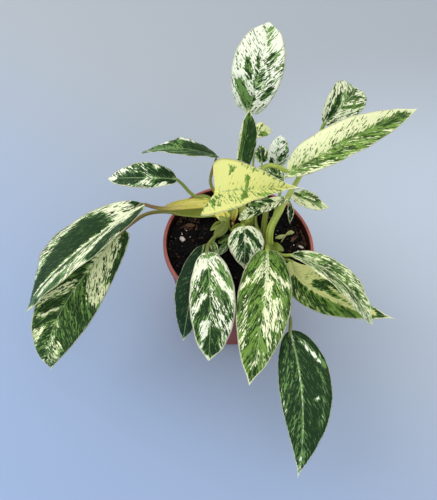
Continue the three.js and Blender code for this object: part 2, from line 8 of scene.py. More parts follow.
import bpy
import numpy as np
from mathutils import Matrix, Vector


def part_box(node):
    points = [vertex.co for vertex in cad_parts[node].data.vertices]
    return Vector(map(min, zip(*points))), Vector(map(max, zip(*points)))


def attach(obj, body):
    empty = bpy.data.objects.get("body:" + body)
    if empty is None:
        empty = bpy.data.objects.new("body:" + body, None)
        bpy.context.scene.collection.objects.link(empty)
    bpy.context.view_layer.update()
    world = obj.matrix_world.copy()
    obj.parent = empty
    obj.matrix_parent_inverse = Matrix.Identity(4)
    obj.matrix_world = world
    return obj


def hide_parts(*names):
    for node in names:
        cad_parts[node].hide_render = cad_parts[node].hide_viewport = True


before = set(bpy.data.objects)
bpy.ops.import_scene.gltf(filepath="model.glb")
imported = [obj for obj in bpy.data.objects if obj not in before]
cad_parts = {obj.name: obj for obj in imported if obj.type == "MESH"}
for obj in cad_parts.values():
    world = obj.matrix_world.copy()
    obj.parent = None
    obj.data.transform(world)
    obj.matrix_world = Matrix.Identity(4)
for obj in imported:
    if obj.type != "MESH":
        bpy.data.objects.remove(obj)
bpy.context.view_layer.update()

bl_info = {
    "name": "Potted Philodendron",
    "version": (1, 0, 0),
    "blender": (4, 5, 0),
    "location": "View3D > Sidebar > Philodendron",
    "description": "Dresses a potted philodendron: blades, stalks, pot, potting mix and stage",
    "category": "Object",
}

POT_LOW, POT_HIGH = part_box("pot")

# Pot. WALL_RINGS counts the rings of its wall outside and inside. CLEAN_LIP is how far below the rim the
# peat stain and painted shade inside it end, and DRILL_PROUD how far the drill stands out on both sides of
# the base.
RIM_R = (POT_HIGH.x - POT_LOW.x) / 2
POT_H = POT_HIGH.z
RIM_H = 0.004
RIM_ROUND = 0.0006
LIP = 0.0011
BASE_R = 0.0425
WALL = 0.0014
FLOOR_T = 0.002
DRAIN_COUNT = 8
DRAIN_R = 0.004
DRAIN_RING = 0.029
DRAIN_SIDES = 28
DRILL_PROUD = 0.003
WALL_RINGS = (40, 30)
CLEAN_LIP = 0.0004

# Potting mix. CLODS gives the grain and the strength of each layer of clods. CHIP_SPOTS gives the centre
# and reach of each patch of bark chips, and its share of them, and BED_CHIPS the share that lies all over.
# CRUMB_SIZE, CRUMB_SQUASH and SPECK_SIZE give the least size or share and what chance adds to it.
FILL_GAP = 0.0003
SIDE_GAP = 0.0004
SOIL_Z = 0.094
SOIL_SWELL = 0.0012
CLODS = ((0.0046, 1), (0.0021, 0.6), (0.001, 0.35))
CHIP_SPOTS = [((-0.043, 0.015), 0.009, 0.4), ((0.047, 0.017), 0.013, 0.35)]
BED_CHIPS = 0.25
LATTICE_SIDE = 64
CRUMB_ROOM = 0.0015
CRUMB_SIZE = (0.0004, 0.0011)
CRUMB_SQUASH = (0.6, 0.8)
CHIP_SIZE = (0.0016, 0.0006, 0.0004)
CHIP_RISE = 0.0007
SPECK_SIZE = (0.0003, 0.0005)
SPECK_RISE = 0.0008

# Blades. VEIN_SLANT says how far a side vein climbs from its foot to the margin, and MARGIN_DROOP how many
# degrees the margin falls. PLEAT_START is the share of the half from which the pleats are full.
# RIPPLE_SHIFTS and NOISE_SHIFT make each leaf's ripple and markings its own.
LOBE_AT = 0.1
VEIN_SLANT = 0.35
VEIN_LIFT = 0.15
TIP_PINCH = 0.4
TIP_SHARE = 0.12
WAVE_COUNT = 2.3
WAVE_SHIFT = 0.13
MARGIN_DROOP = 10
COLUMN_CROWD = 1.15
PLEAT_START = 0.2
GROOVE_WIDTH = 0.0011
RIPPLE_COUNT = 5.6
RIPPLE_SHIFTS = (0.37, 0.21)
NOISE_SHIFT = 0.31

# Midribs. RIB_SPAN is the share of the blade that they run along and RIB_SETTLES the share over which they
# sink from the stalk's top to below the blade. RIB_PALES is how fast they turn pale from there.
RIB_SINK = 0.00015
RIB_DROP = 0.0004
RIB_THINS = 0.8
RIB_SETTLES = 0.06
RIB_PALES = 12
RIB_SPAN = (0.01, 0.96)
RIB_RINGS = 34
RIB_SIDES = 10

# Tops of stalks. STUBS gives the length that goes with a short and a long blade, and LONG_RIB the midrib's
# length from which a blade is long. STUB_SPAN says where one starts and ends, in lengths before the blade.
LONG_RIB = 0.060
STUBS = (0.005, 0.009)
STUB_RINGS = 7
STUB_SPAN = (1.1, 0.35)

# Stalks. FOOT_DOME gives the angles of the rings that round a foot off. The colour turns with the share of
# the stalk to the power TONE_TURN. GIRTH is the length that the markings take a stalk to have around it.
PATH_STEPS = 60
FOOT_DOME = (72, 50, 30, 14)
FOOT_FLARE = 0.25
FLARE_REACH = 0.1
TONE_TURN = 2.5
GIRTH = 0.012

# Sheaths, open by SHEATH_FOOT at the foot and fully from SHEATH_FULL on, and papery scales
SHEATH_BLUNT = 3
SHEATH_FOOT = 0.5
SHEATH_FULL = 0.25
SHEATH_THINS = 0.4
SHEATH_BEND = 0.7
SCALE_R = 0.00035
SCALE_FOOT = 0.22
SCALE_RINGS = 18
SCALE_SIDES = 14

# Stems, which narrow from the share STEM_NARROWS of their height on, and the seedling
STEM_FOOT = 0.084
STEM_TOP = 0.100
STEM_SIDES = 28
STEM_RINGS = 22
STEM_NARROWS = 0.45
STEM_WAVE = 0.05
STEM_WAVES = 2100
SEEDLING_RINGS = 16
SEEDLING_SIDES = 12

# Stage. The spot set last is the centre of the pool of light painted on the floor, where it is lightest.
FLOOR_REACH = 4.0
KEY_SIZE = 0.9
FILL_SIZE = 1.2
VIEW_SPAN = (0.01, 20)
PAINTED_GLOW_SPOT = (0.24, 0.14, 0)


def mm(values):
    """Lengths given in millimetres, in metres"""
    return np.array(values) / 1000


# The tables give lengths in millimetres. Each leaf grows from a root point through its stalk's bends to
# the blade's base.
# stalk: its radius at the foot and at the blade. tones: its colours there.
# sheath: how far the stalk's wings stand out, and the share of the stalk that they run along.
# half: the widths left and right of the midrib, seen from the base with the face up.
# face and face1: where the blade's face looks at its base and at its tip.
# fold: the rise of each half in degrees at the base and at the tip.
# swell and taper: how fast the outline widens from the base and narrows to the tip.
# lobe: how far the base reaches back behind the stalk. wave: the height of the margin's waves.
# ground: the tone where no mark lies. warm: the pale colour, from white at 0 over cream at 0.5 to yellow
# at 1. lush: the green, from bluish at 0 to yellowish at 1. edge: the width of the pale margin.
# rise: how far a side vein climbs for each step outwards.
# A mark is a tone and, in percent, the share of the blade and of the half where its stroke starts, the
# same where it ends, and its half width as a share of the blade's length.
LEAVES = {
    "back_tall": dict(
        shoot="middle", stalk=(2.2, 1.5), sheath=(1.5, 0.3), tones=("olive", "lime"),
        bends=[(1, 26, 97.5), (-3, 40, 104), (-6, 56, 118), (-8, 67, 144)],
        base=(-9, 68, 174), mid=(-5, 74, 208), tip=(-4, 110, 222), half=(20, 17), face=(0, -1, 0.9),
        fold=(12, 16), swell=0.63, taper=0.59, lobe=0.06, wave=0.8,
        ground="fine", warm=0.2, lush=0.4, edge=0.6, rise=1.1, marks=[
            ("deep", 46, 5, 70, 50, 3), ("dark", 38, 12, 47, 60, 2.8), ("dark", 25, 45, 36, 70, 1.8),
            ("dashed", 50, 70, 62, 95, 4), ("deep", 46, -30, 60, -50, 2.4), ("green", 42, -5, 68, -15, 1.6),
            ("green", 14, -20, 36, -62, 4.5), ("soft", 82, 20, 94, 35, 3.5), ("deep", 6, 0, 25, 5, 1.6),
            ("dashed", 30, 30, 60, 40, 6)]),
    "back_narrow": dict(
        shoot="middle", stalk=(1.7, 1.2), tones=("lime", "grass"),
        bends=[(0, 24, 97.5), (-4, 31, 114)],
        base=(-9, 45, 138), mid=(-8, 51, 160), tip=(-8, 56, 185), half=(5, 13), face=(-0.2, -0.9, 0.7),
        fold=(46, 42), swell=0.46, taper=0.45, lobe=0.05, wave=0.5,
        ground="deep", warm=0.5, lush=0.45, edge=0.5, rise=2.2, marks=[
            ("green", 10, -60, 90, -60, 5), ("dark", 30, 40, 80, 50, 8), ("clear", 20, -90, 80, -92, 1),
            ("dashed", 2, 0, 16, 10, 3)]),
    "back_tiny": dict(
        shoot="middle", stalk=(1.2, 0.9), tones=("lime", "grass"),
        bends=[(4, 26, 97.5), (3, 48, 108), (1, 66, 124)],
        base=(-1, 80, 140), mid=(4, 78, 147), tip=(12, 85, 143), half=(8, 5), face=(0, -0.5, 1),
        fold=(20, 16), swell=0.7, taper=0.79, lobe=0.04, wave=0.4,
        ground="clear", warm=0.7, lush=0.9, edge=0, rise=1, marks=[
            ("green", 45, 30, 65, 60, 10), ("soft", 30, -30, 60, -60, 8)]),
    "back_oval": dict(
        shoot="right", stalk=(1.4, 1), tones=("grass", "lime"),
        bends=[(19, 9, 97.5), (11, 18, 104), (10, 29, 114), (14, 46, 122)],
        base=(20, 59, 130), mid=(20, 63, 144), tip=(19, 75, 149), half=(9, 8), face=(0, -1, 0.7),
        fold=(19, 23), swell=0.56, taper=0.8, lobe=0.04, wave=0.4,
        ground="fine", warm=0.1, lush=0.2, edge=0.4, rise=1, marks=[
            ("deep", 28, 15, 45, 38, 5.5), ("mottled", 78, 30, 75, 90, 5), ("mottled", 35, 50, 60, 80, 6),
            ("soft", 62, -10, 48, -35, 4), ("deep", 14, -80, 28, -60, 3)]),
    "back_bud": dict(
        shoot="middle", stalk=(1.2, 0.9), tones=("grass", "lime"),
        bends=[(6, 24, 97.5), (9, 42, 106), (9, 56, 118)],
        base=(8, 63, 128), mid=(6, 67, 134), tip=(4, 73, 137), half=(5, 6), face=(0, -1, 0.7), fold=(19, 25),
        swell=0.54, taper=0.8, lobe=0.04, wave=0.3,
        ground="dashed", warm=0.45, lush=0.3, edge=0, rise=1.2, marks=[
            ("dark", 20, 20, 70, 40, 9), ("deep", 20, -30, 55, -60, 7)]),
    "right_cupped": dict(
        shoot="right", stalk=(2.4, 1.5), sheath=(0.9, 0.3), tones=("lime", "grass"),
        bends=[(24, 5, 97.5), (23, 7, 103), (22.8, 10.6, 110), (24.4, 14.4, 116), (32, 27, 134),
               (44, 58, 145)],
        base=(53, 95, 150), mid=(67, 102, 172), tip=(72, 121, 170), half=(16, 14), face=(0.1, -0.8, 0.9),
        fold=(17, 17), swell=0.65, taper=0.57, lobe=0.02, wave=0.6,
        ground="speckled", warm=0.35, lush=0.55, edge=0.5, rise=1.3, marks=[
            ("dark", 14, -5, 46, -42, 3.5), ("deep", 50, -3, 88, -3, 2.8), ("soft", 60, 10, 78, 75, 5.5),
            ("green", 40, 10, 60, 85, 2.6), ("soft", 50, -25, 92, -70, 4.5), ("deep", 66, 15, 74, 60, 2),
            ("dashed", 30, 55, 45, 80, 3)]),
    "right_long": dict(
        shoot="right", stalk=(2.4, 1.8), tones=("moss", "lime"),
        bends=[(19, 7, 97.5), (17.5, 12, 111), (15.5, 17, 132), (8, 27, 148), (11, 35, 153), (20, 36, 153)],
        base=(28, 35, 150), mid=(62, 38, 186), tip=(112, 75, 194), half=(15, 17), face=(0, -0.25, 1),
        fold=(37, 35), swell=0.63, taper=0.89, lobe=0.05, wave=0.8,
        ground="clear", warm=0.62, lush=0.75, edge=0.5, rise=1.4, marks=[
            ("leafy", 14, 30, 50, 55, 6), ("leafy", 48, 35, 86, 50, 6.5), ("green", 20, 10, 92, 12, 1.4),
            ("deep", 80, 25, 92, 40, 3), ("soft", 6, 30, 20, 60, 3.5), ("leafy", 45, 80, 70, 85, 2.5),
            ("mottled", 40, -25, 67, -60, 3), ("fine", 20, -40, 70, -40, 5), ("green", 50, -6, 90, -8, 1)]),
    "centre_yellow": dict(
        shoot="middle", stalk=(2.4, 1.9), sheath=(1.6, 0.4), tones=("lime", "gold"),
        bends=[(6, 21, 97.5), (6, 20, 108), (1, 14.5, 122), (-8, 8, 140)],
        base=(-22, -3, 158), mid=(8, -4, 171), tip=(39, 7, 166), half=(24, 23), face=(0, -0.25, 1),
        fold=(26, 52), swell=0.3, taper=1.74, lobe=0.12, wave=0.6,
        ground="clear", warm=0.85, lush=0.95, edge=0.4, rise=0.5, marks=[
            ("faint", 5, 55, 70, 55, 13), ("solid", 44, -8, 43, -50, 1.8), ("solid", 27, -82, 27, -55, 1.6),
            ("solid", 42, 25, 40, 62, 2), ("watery", 20, 0, 50, 6, 1.2), ("soft", 5, 70, 16, 40, 5),
            ("soft", 36, -90, 78, -90, 1.4), ("watery", 52, 60, 60, 90, 2), ("flecked", 14, 60, 34, 62, 4),
            ("watery", 64, 30, 72, 80, 1.6)]),
    "left_upper": dict(
        shoot="left", stalk=(2, 1.4), sheath=(5.4, 0.72), tones=("gold", "umber"),
        bends=[(-14, 23, 97.5), (-26, 30.5, 101), (-45, 20.5, 108.5), (-61, 12.5, 112), (-70, 7, 118)],
        base=(-78, 4, 124), mid=(-121, -63, 123), tip=(-143, -84, 90), half=(27, 29), face=(-0.35, 0, 1),
        face1=(-0.9, 0, 0.6), fold=(26, 14), swell=0.69, taper=1, lobe=0.02, wave=0.5,
        ground="fine", warm=0.35, lush=0.25, edge=0.8, rise=1.7, marks=[
            ("dark", 28, 30, 84, 36, 8.5), ("plain", 32, 32, 80, 36, 7), ("deep", 24, 12, 88, 8, 1.2),
            ("dashed", 35, 90, 85, 86, 4), ("speckled", 13, 20, 13, 80, 3.5), ("dark", 2, -50, 3, 60, 1.4),
            ("clear", 14, -3, 84, -5, 1.3), ("dark", 8, -75, 20, -92, 2), ("dark", 20, -62, 38, -88, 2.8),
            ("mottled", 38, -30, 50, -45, 3), ("deep", 50, -70, 66, -90, 2.6),
            ("deep", 72, -85, 86, -25, 2.2), ("dashed", 42, -35, 50, -75, 3),
            ("deep", 45, -22, 62, -30, 1.2), ("dashed", 60, 55, 70, 70, 1.2),
            ("dashed", 24, -10, 70, -12, 0.8)]),
    "left_lower": dict(
        shoot="left", stalk=(2, 1.4), sheath=(2.8, 0.5), tones=("olive", "umber"),
        bends=[(-13, 20, 97.5), (-22, 26, 98.5), (-36, 21, 101), (-53, 17, 103), (-66, 13, 106),
               (-78, 4, 109)],
        base=(-89, -14, 111), mid=(-120, -84, 92), tip=(-125, -110, 48), half=(23, 20), face=(0.1, -0.2, 1),
        face1=(-0.2, -0.7, 0.6), fold=(0, 20), swell=0.9, taper=1.2, lobe=0.06, wave=0.6,
        ground="deep", warm=0.6, lush=0.45, edge=0.6, rise=1.2, marks=[
            ("fine", 14, -15, 33, -72, 8), ("dark", 6, -80, 24, -97, 1.6), ("dashed", 12, -55, 34, -66, 2.2),
            ("clear", 64, 6, 90, 12, 1), ("speckled", 58, 72, 76, 86, 2.6), ("fine", 84, 40, 92, 50, 1.6),
            ("speckled", 40, 15, 50, 90, 3.2), ("dark", 52, 30, 62, 80, 3), ("clear", 54, 5, 60, 90, 0.9),
            ("clear", 60, -12, 84, -15, 1), ("clear", 87, 30, 90, 95, 1.4), ("deep", 45, -30, 62, -70, 4),
            ("deep", 66, 20, 82, 60, 4), ("dashed", 72, -50, 85, -70, 2.5), ("green", 36, -12, 60, -16, 1.4),
            ("clear", 66, 45, 74, 75, 0.8), ("mottled", 80, 0, 96, 10, 3)]),
    "left_oval": dict(
        shoot="left", stalk=(1.7, 1.2), sheath=(1.6, 0.5), tones=("olive", "grass"),
        bends=[(-13, 25, 97.5), (-31, 36, 103), (-40, 33, 107), (-46, 32, 113), (-51.5, 31, 122)],
        base=(-56, 27, 132), mid=(-82, 18, 137), tip=(-112, 28, 118), half=(9, 12), face=(0, -0.4, 1),
        fold=(24, 20), swell=0.63, taper=0.77, lobe=0.03, wave=0.6,
        ground="mottled", warm=0.25, lush=0.2, edge=0.6, rise=1.2, marks=[
            ("dark", 66, -15, 88, -55, 6), ("speckled", 48, -12, 46, -85, 4.5),
            ("speckled", 92, 30, 74, 85, 5.5), ("dark", 14, 25, 38, 55, 4.5), ("dark", 72, 8, 56, 14, 3),
            ("fine", 30, 70, 30, 95, 3), ("dark", 10, -20, 34, -40, 3), ("fine", 22, -60, 30, -95, 3),
            ("clear", 90, -20, 97, 20, 2)]),
    "left_arched": dict(
        shoot="left", stalk=(1.6, 1.1), tones=("olive", "umber"),
        bends=[(-13, 25, 97.5), (-22, 38, 104), (-31, 44, 116)],
        base=(-28, 50, 140), mid=(-58, 42, 150), tip=(-89, 52, 128), half=(14, 12), face=(0, 0.25, 1),
        fold=(21, 24), swell=0.55, taper=0.59, lobe=0.04, wave=0.6,
        ground="deep", warm=0.2, lush=0.4, edge=0.6, rise=1.2, marks=[
            ("clear", 34, 70, 50, 95, 3.5), ("green", 60, -20, 85, -50, 8), ("dark", 20, 10, 45, 30, 6),
            ("clear", 70, 70, 85, 95, 2)]),
    "front_left": dict(
        shoot="left", stalk=(1.8, 1.4), sheath=(2.8, 0.42), tones=("moss", "moss"),
        bends=[(-13, 18, 97.5), (-15, 7.6, 102), (-19.7, -5.7, 108), (-22.2, -18.7, 116)],
        base=(-22, -31, 124), mid=(-13, -66, 113), tip=(-8, -93, 76), half=(18, 15), face=(0, -0.6, 1),
        face1=(0, -1, 0.6), fold=(5, 13), swell=0.62, taper=0.65, lobe=0.03, wave=0.8,
        ground="speckled", warm=0.25, lush=0.4, edge=1, rise=1.8, marks=[
            ("mottled", 67, -10, 88, -55, 7), ("fine", 72, -55, 76, -15, 2.6), ("dark", 80, -15, 92, -40, 4),
            ("dark", 59, -92, 63, -78, 1.8), ("leafy", 35, -5, 58, -75, 4.5), ("fine", 22, -5, 47, -90, 2.8),
            ("green", 21, -55, 37, -92, 2.4), ("green", 6, -50, 8, 30, 2), ("deep", 28, 12, 48, 26, 3.4),
            ("clear", 50, 30, 60, 50, 2.6), ("dark", 56, 14, 72, 75, 3.4), ("fine", 73, 40, 84, 50, 4),
            ("dark", 85, 12, 93, 30, 2.6), ("deep", 70, 82, 84, 88, 2.4), ("mottled", 36, 50, 52, 80, 3.5),
            ("fine", 14, 30, 24, 70, 4.5), ("dashed", 55, -30, 62, -60, 2.4)]),
    "front_dark": dict(
        shoot="left", stalk=(1.7, 1.2), tones=("moss", "moss"),
        bends=[(-14, 18, 97.5), (-16, 10.4, 98), (-19.8, 0.4, 99.5), (-22.8, -9.2, 103)],
        base=(-26, -14, 108), mid=(-28, -57, 105), tip=(-30, -76, 66), half=(12, 13), face=(-0.5, -0.6, 1),
        face1=(-0.3, -1, 0.5), fold=(27, 7), swell=0.66, taper=0.89, lobe=0.03, wave=0.6,
        ground="plain", warm=0.25, lush=0.05, edge=0.4, rise=1.8, marks=[
            ("dark", 30, 60, 80, 60, 4), ("soft", 96, 0, 100, 0, 2)]),
    "front_round": dict(
        shoot="middle", stalk=(1.8, 1.3), tones=("grass", "lime"),
        bends=[(1, 19, 97.5), (1, 15, 103)],
        base=(2, 7, 112), mid=(5, -9, 110), tip=(7, -23, 98), half=(15, 13.5), face=(0, -0.6, 1),
        fold=(5, 3), swell=0.7, taper=0.88, lobe=0.07, wave=0.5,
        ground="fine", warm=0.3, lush=0.15, edge=1.2, rise=1.5, marks=[
            ("dark", 20, -8, 54, -78, 4.5), ("dark", 60, -10, 86, -16, 6.5), ("dark", 32, 18, 56, 30, 4.5),
            ("deep", 22, 50, 50, 85, 3.6), ("mottled", 60, 30, 85, 60, 8),
            ("mottled", 55, -45, 72, -70, 4)]),
    "front_centre": dict(
        shoot="right", stalk=(2.4, 1.8), tones=("olive", "lime"),
        bends=[(22, 2, 97.5), (22, -3, 103)],
        base=(22.5, -11, 110), mid=(25, -61, 114), tip=(24, -105, 72), half=(19, 20), face=(0, -0.6, 1),
        face1=(0, -1, 0.6), fold=(14, 6), swell=0.76, taper=0.86, lobe=0.05, wave=0.8,
        ground="leafy", warm=0.45, lush=0.75, edge=0.9, rise=2, marks=[
            ("soft", 5, 30, 20, 60, 4.5), ("mossy", 12, 74, 50, 85, 2.8), ("speckled", 26, 15, 42, 55, 3),
            ("mossy", 46, 34, 90, 42, 5.8), ("dashed", 50, 72, 80, 80, 2), ("clear", 34, 70, 42, 92, 1),
            ("green", 6, -25, 26, -45, 4.5), ("deep", 18, -35, 28, -75, 2.6),
            ("clear", 30, -10, 37, -85, 1.4), ("leafy", 40, -40, 50, -80, 3.2),
            ("fine", 42, -8, 74, -18, 2.4), ("fine", 52, -45, 76, -62, 2.6), ("clear", 6, 2, 50, 2, 0.9),
            ("mottled", 62, -75, 84, -72, 2.2), ("dark", 92, 0, 97, 20, 1.8),
            ("dashed", 84, -30, 92, 30, 1.8)]),
    "front_right": dict(
        shoot="right", stalk=(2, 1.3), tones=("grass", "moss"),
        bends=[(24, 1, 97.5), (27, -20, 101), (32, -38, 104), (40, -53, 105), (46, -62, 100)],
        base=(47, -67, 94), mid=(64, -112, 70), tip=(72, -150, 21), half=(22, 16), face=(0, -0.6, 1),
        face1=(0, -1, 0.5), fold=(1, 22), swell=0.8, taper=1.3, lobe=0.03, wave=0.8,
        ground="dark", warm=0.15, lush=0.25, edge=0.4, rise=2, marks=[
            ("dark", 30, -30, 84, -45, 6), ("leafy", 8, -25, 28, -88, 2), ("clear", 10, -35, 26, -74, 0.7),
            ("deep", 6, 20, 36, 50, 5), ("clear", 49, -60, 51, -50, 1), ("clear", 68, 4, 84, 5, 0.7),
            ("fine", 38, 86, 58, 92, 0.8), ("deep", 42, 42, 92, 50, 6), ("leafy", 34, -80, 66, -82, 1.2),
            ("soft", 86, 0, 98, 5, 1), ("soft", 4, 0, 80, 0, 0.7)]),
    "right_lower": dict(
        shoot="right", stalk=(1.6, 1.3), tones=("grass", "lime"),
        bends=[(26, 1, 97.5), (30, -6, 98.5), (35, -11.5, 102)],
        base=(42, -15, 108), mid=(66, -35, 101), tip=(132, -32, 76), half=(15, 15), face=(0, -0.5, 1),
        fold=(10, 20), swell=0.95, taper=1.2, lobe=0.02, wave=0.8,
        ground="leafy", warm=0.8, lush=0.75, edge=0.6, rise=1.3, marks=[
            ("clear", 10, -50, 40, -60, 13), ("clear", 25, -10, 90, -12, 2.6),
            ("dashed", 36, -40, 44, -90, 2.6), ("dark", 50, -20, 62, -75, 3.5),
            ("deep", 64, -25, 78, -55, 3), ("clear", 58, -55, 80, -30, 1.2), ("deep", 30, 30, 66, 55, 4.5),
            ("green", 66, 45, 86, 60, 3.5), ("mottled", 20, 80, 60, 90, 2), ("dark", 92, -50, 100, 20, 3),
            ("clear", 86, 0, 91, 10, 1.2), ("clear", 24, 3, 88, 3, 1.7)]),
    "right_folded": dict(
        shoot="right", stalk=(1.6, 1.3), tones=("grass", "lime"),
        bends=[(26, 1, 97.5), (29.5, -5, 101.5), (35, -12, 108.5)],
        base=(40, -17, 118), mid=(76, -34, 122), tip=(110, -46, 86), half=(10, 18), face=(0.4, -0.1, 1),
        fold=(48, 28), swell=0.67, taper=0.66, lobe=0.02, wave=0.6,
        ground="flecked", warm=0.5, lush=0.5, edge=0.8, rise=2.6, marks=[
            ("mottled", 25, 60, 88, 60, 5), ("leafy", 34, -20, 52, -45, 3), ("deep", 68, -38, 77, -25, 1.4),
            ("deep", 57, -55, 63, -20, 1.2), ("deep", 4, -70, 12, -10, 2.6), ("clear", 30, 20, 90, 24, 1),
            ("leafy", 20, 8, 80, 8, 1.2), ("soft", 50, -75, 80, -72, 2.2)]),
    "right_small": dict(
        shoot="right", stalk=(1.5, 1.1), tones=("grass", "lime"),
        bends=[(24, 9, 97.5), (24.2, 20.7, 101), (28, 32.3, 106)],
        base=(37, 45, 116), mid=(52, 36, 120), tip=(69, 44, 108), half=(8, 8), face=(0.2, -0.3, 1),
        fold=(30, 12), swell=0.52, taper=1, lobe=0.03, wave=0.5,
        ground="clear", warm=0.6, lush=0.6, edge=0.4, rise=1.6, marks=[
            ("fine", 10, 40, 80, 40, 10), ("deep", 5, -10, 30, -10, 4), ("leafy", 20, -70, 70, -70, 6),
            ("green", 30, -10, 80, -10, 2.2), ("clear", 28, -25, 60, -40, 1.5),
            ("soft", 60, 30, 85, 40, 4)]),
    "right_inner": dict(
        shoot="right", stalk=(1.2, 0.9), tones=("moss", "grass"),
        bends=[(24, 9, 97.5), (24.3, 19, 101), (31, 35, 113), (34, 34.6, 118)],
        base=(36, 32, 117), mid=(38, 32, 107), tip=(39, 30, 96), half=(3, 3), face=(-0.3, -0.8, 0.6),
        fold=(30, 31), swell=0.52, taper=0.89, lobe=0.03, wave=0.2,
        ground="dark", warm=0.1, lush=0.1, edge=0.6, rise=1.5, marks=[
            ("clear", 30, 95, 70, 95, 5)]),
    "centre_speckled": dict(
        shoot="right", stalk=(1.8, 1.3), tones=("grass", "lime"),
        bends=[(24, 8, 97.5), (23.5, 16.4, 104), (25.7, 22.6, 111), (32, 32, 124), (32.5, 27, 134)],
        base=(30, 18, 140), mid=(10, 3, 142), tip=(-3, -1, 130), half=(8, 5), face=(0, 0, 1), fold=(30, 29),
        swell=0.65, taper=0.58, lobe=0.05, wave=0.5,
        ground="speckled", warm=0.55, lush=0.45, edge=0, rise=0.9, marks=[
            ("deep", 52, 10, 58, 80, 4), ("dark", 70, -45, 75, -20, 2.4), ("dark", 55, -80, 56, -55, 2),
            ("deep", 30, 30, 40, 70, 3)]),
    "back_speckled": dict(
        shoot="right", stalk=(1.4, 1), tones=("grass", "lime"),
        bends=[(23, 9, 97.5), (23.2, 17, 101), (25, 28, 109), (26, 38, 124)],
        base=(26, 42, 137), mid=(16, 45, 137), tip=(5, 55, 131), half=(6, 6), face=(0, -0.4, 1),
        fold=(16, 29), swell=0.56, taper=0.79, lobe=0.04, wave=0.4,
        ground="dashed", warm=0.5, lush=0.4, edge=0, rise=1.2, marks=[
            ("deep", 40, 20, 60, 60, 5), ("dark", 20, -20, 40, -60, 5)]),
    "new_pale": dict(
        shoot="left", stalk=(1.3, 0.9), tones=("lime", "lime"),
        bends=[(-13, 17, 97.5), (-16.7, 5.9, 101), (-18.9, -1, 103.4)],
        base=(-19.9, -8.7, 106), mid=(-17.7, -14.7, 106), tip=(-14.8, -19.3, 103), half=(3, 3),
        face=(0, -0.5, 1), fold=(20, 20), swell=0.6, taper=0.8, lobe=0.03, wave=0.2,
        ground="soft", warm=0.5, lush=0.8, edge=0.3, rise=2.5, marks=[
            ("plain", 15, 10, 75, 10, 7), ("soft", 30, -50, 70, -50, 20)]),
    "new_green": dict(
        shoot="middle", stalk=(1.3, 0.9), tones=("grass", "grass"),
        bends=[(0, 19, 97.5), (-4, 12, 100)],
        base=(-8, 3, 102), mid=(-12, -0.5, 100.5), tip=(-16, -3.5, 98.5), half=(3, 3), face=(0, -0.6, 1),
        fold=(20, 20), swell=0.6, taper=0.8, lobe=0.03, wave=0.2,
        ground="plain", warm=0.3, lush=0.9, edge=0, rise=2, marks=[
            ("green", 30, -60, 90, -60, 12)]),
    "new_white": dict(
        shoot="middle", stalk=(1.3, 0.9), tones=("lime", "lime"),
        bends=[(1, 18, 97.5), (-4, 7, 98.5)],
        base=(-8.5, -3.4, 99.4), mid=(-11.4, -8.4, 98.8), tip=(-14.2, -13.8, 97), half=(3, 3),
        face=(0, -0.6, 1), fold=(15, 15), swell=0.6, taper=0.8, lobe=0.03, wave=0.2,
        ground="soft", warm=0.15, lush=0.3, edge=0.3, rise=2, marks=[
            ("green", 10, 40, 50, 40, 10)]),
    "young_orange": dict(
        shoot="none", stalk=(1.1, 1), tones=("rust", "amber"),
        bends=[(-6.5, 18.5, 89), (-6.8, 18.7, 93)],
        base=(-7.4, 19.3, 97.5), mid=(-6.9, 21, 105), tip=(-5.8, 24, 113), half=(2.3, 2.3),
        face=(0, -1, 0.5), fold=(30, 40), swell=0.9, taper=0.4, lobe=0, wave=0,
        ground="clear", warm=1, lush=1, edge=0, rise=1.2, marks=[]),
}
LENGTHS = ("stalk", "bends", "base", "mid", "tip", "half", "wave", "edge")
for row in LEAVES.values():
    row.update((key, mm(row[key])) for key in LENGTHS)

# Share of green and of dark green in each tone of the markings. SHARE_SPREAD is how far the levels of
# two shares lie apart, and MARK_EDGE how fast a mark fades at its edge.
SHARE_SPREAD = 0.2
MARK_EDGE = 2.2
TONES = {
    "plain": (0.999, 0.995),
    "dark": (0.985, 0.93),
    "deep": (0.96, 0.68),
    "mossy": (0.95, 0.42),
    "leafy": (0.80, 0.35),
    "green": (0.94, 0.20),
    "mottled": (0.62, 0.45),
    "soft": (0.60, 0.06),
    "flecked": (0.42, 0.10),
    "dashed": (0.36, 0.32),
    "speckled": (0.20, 0.28),
    "fine": (0.15, 0.14),
    "clear": (0.05, 0.04),
    "solid": (0.99, 0.01),
    "watery": (0.72, 0.012),
    "faint": (0.24, 0.01),
}

# Each shoot's stem, and the papery scales at its foot: a half width and points from the stem to the tip
SHOOTS = {
    "left": dict(foot=(-14, 20.5), radius=5, scales=[
        (2.8, [(-16, 18, 96), (-20, 12, 99.5), (-24, 6, 101)]),
        (2.6, [(-11, 24, 97), (-9, 30, 103), (-8, 36, 107)]),
    ]),
    "middle": dict(foot=(3, 22), radius=5, scales=[
        (2.6, [(0, 19, 96), (-4, 14, 99), (-8, 10, 100)]),
        (0.4, [(-7.4, 11, 96), (-11.3, 13.4, 106), (-14.6, 16.2, 113)]),
    ]),
    "right": dict(foot=(24, 6), radius=6, scales=[
        (3.4, [(27, 3, 96), (31, 0, 100), (36, -2, 101)]),
        (2.6, [(20, 2, 96), (19.5, -3, 100), (20, -8, 102)]),
    ]),
}

# The lumps that have their own place in the mix: centre, half sizes, turn and material slot
LUMPS = {
    "perlite_left": ((-45, -3, 95.6), (2.7, 2.1, 1.9), -0.5, "perlite"),
    "perlite_right": ((50, 8.5, 95.2), (2.5, 1.1, 1.2), -0.3, "perlite"),
    "bark_left": ((-41.5, 12, 95.3), (4.2, 2.2, 1.4), 0.2, "bark"),
    "bark_right": ((43, 15, 95.2), (3.4, 2.0, 1.4), 1.0, "bark"),
}

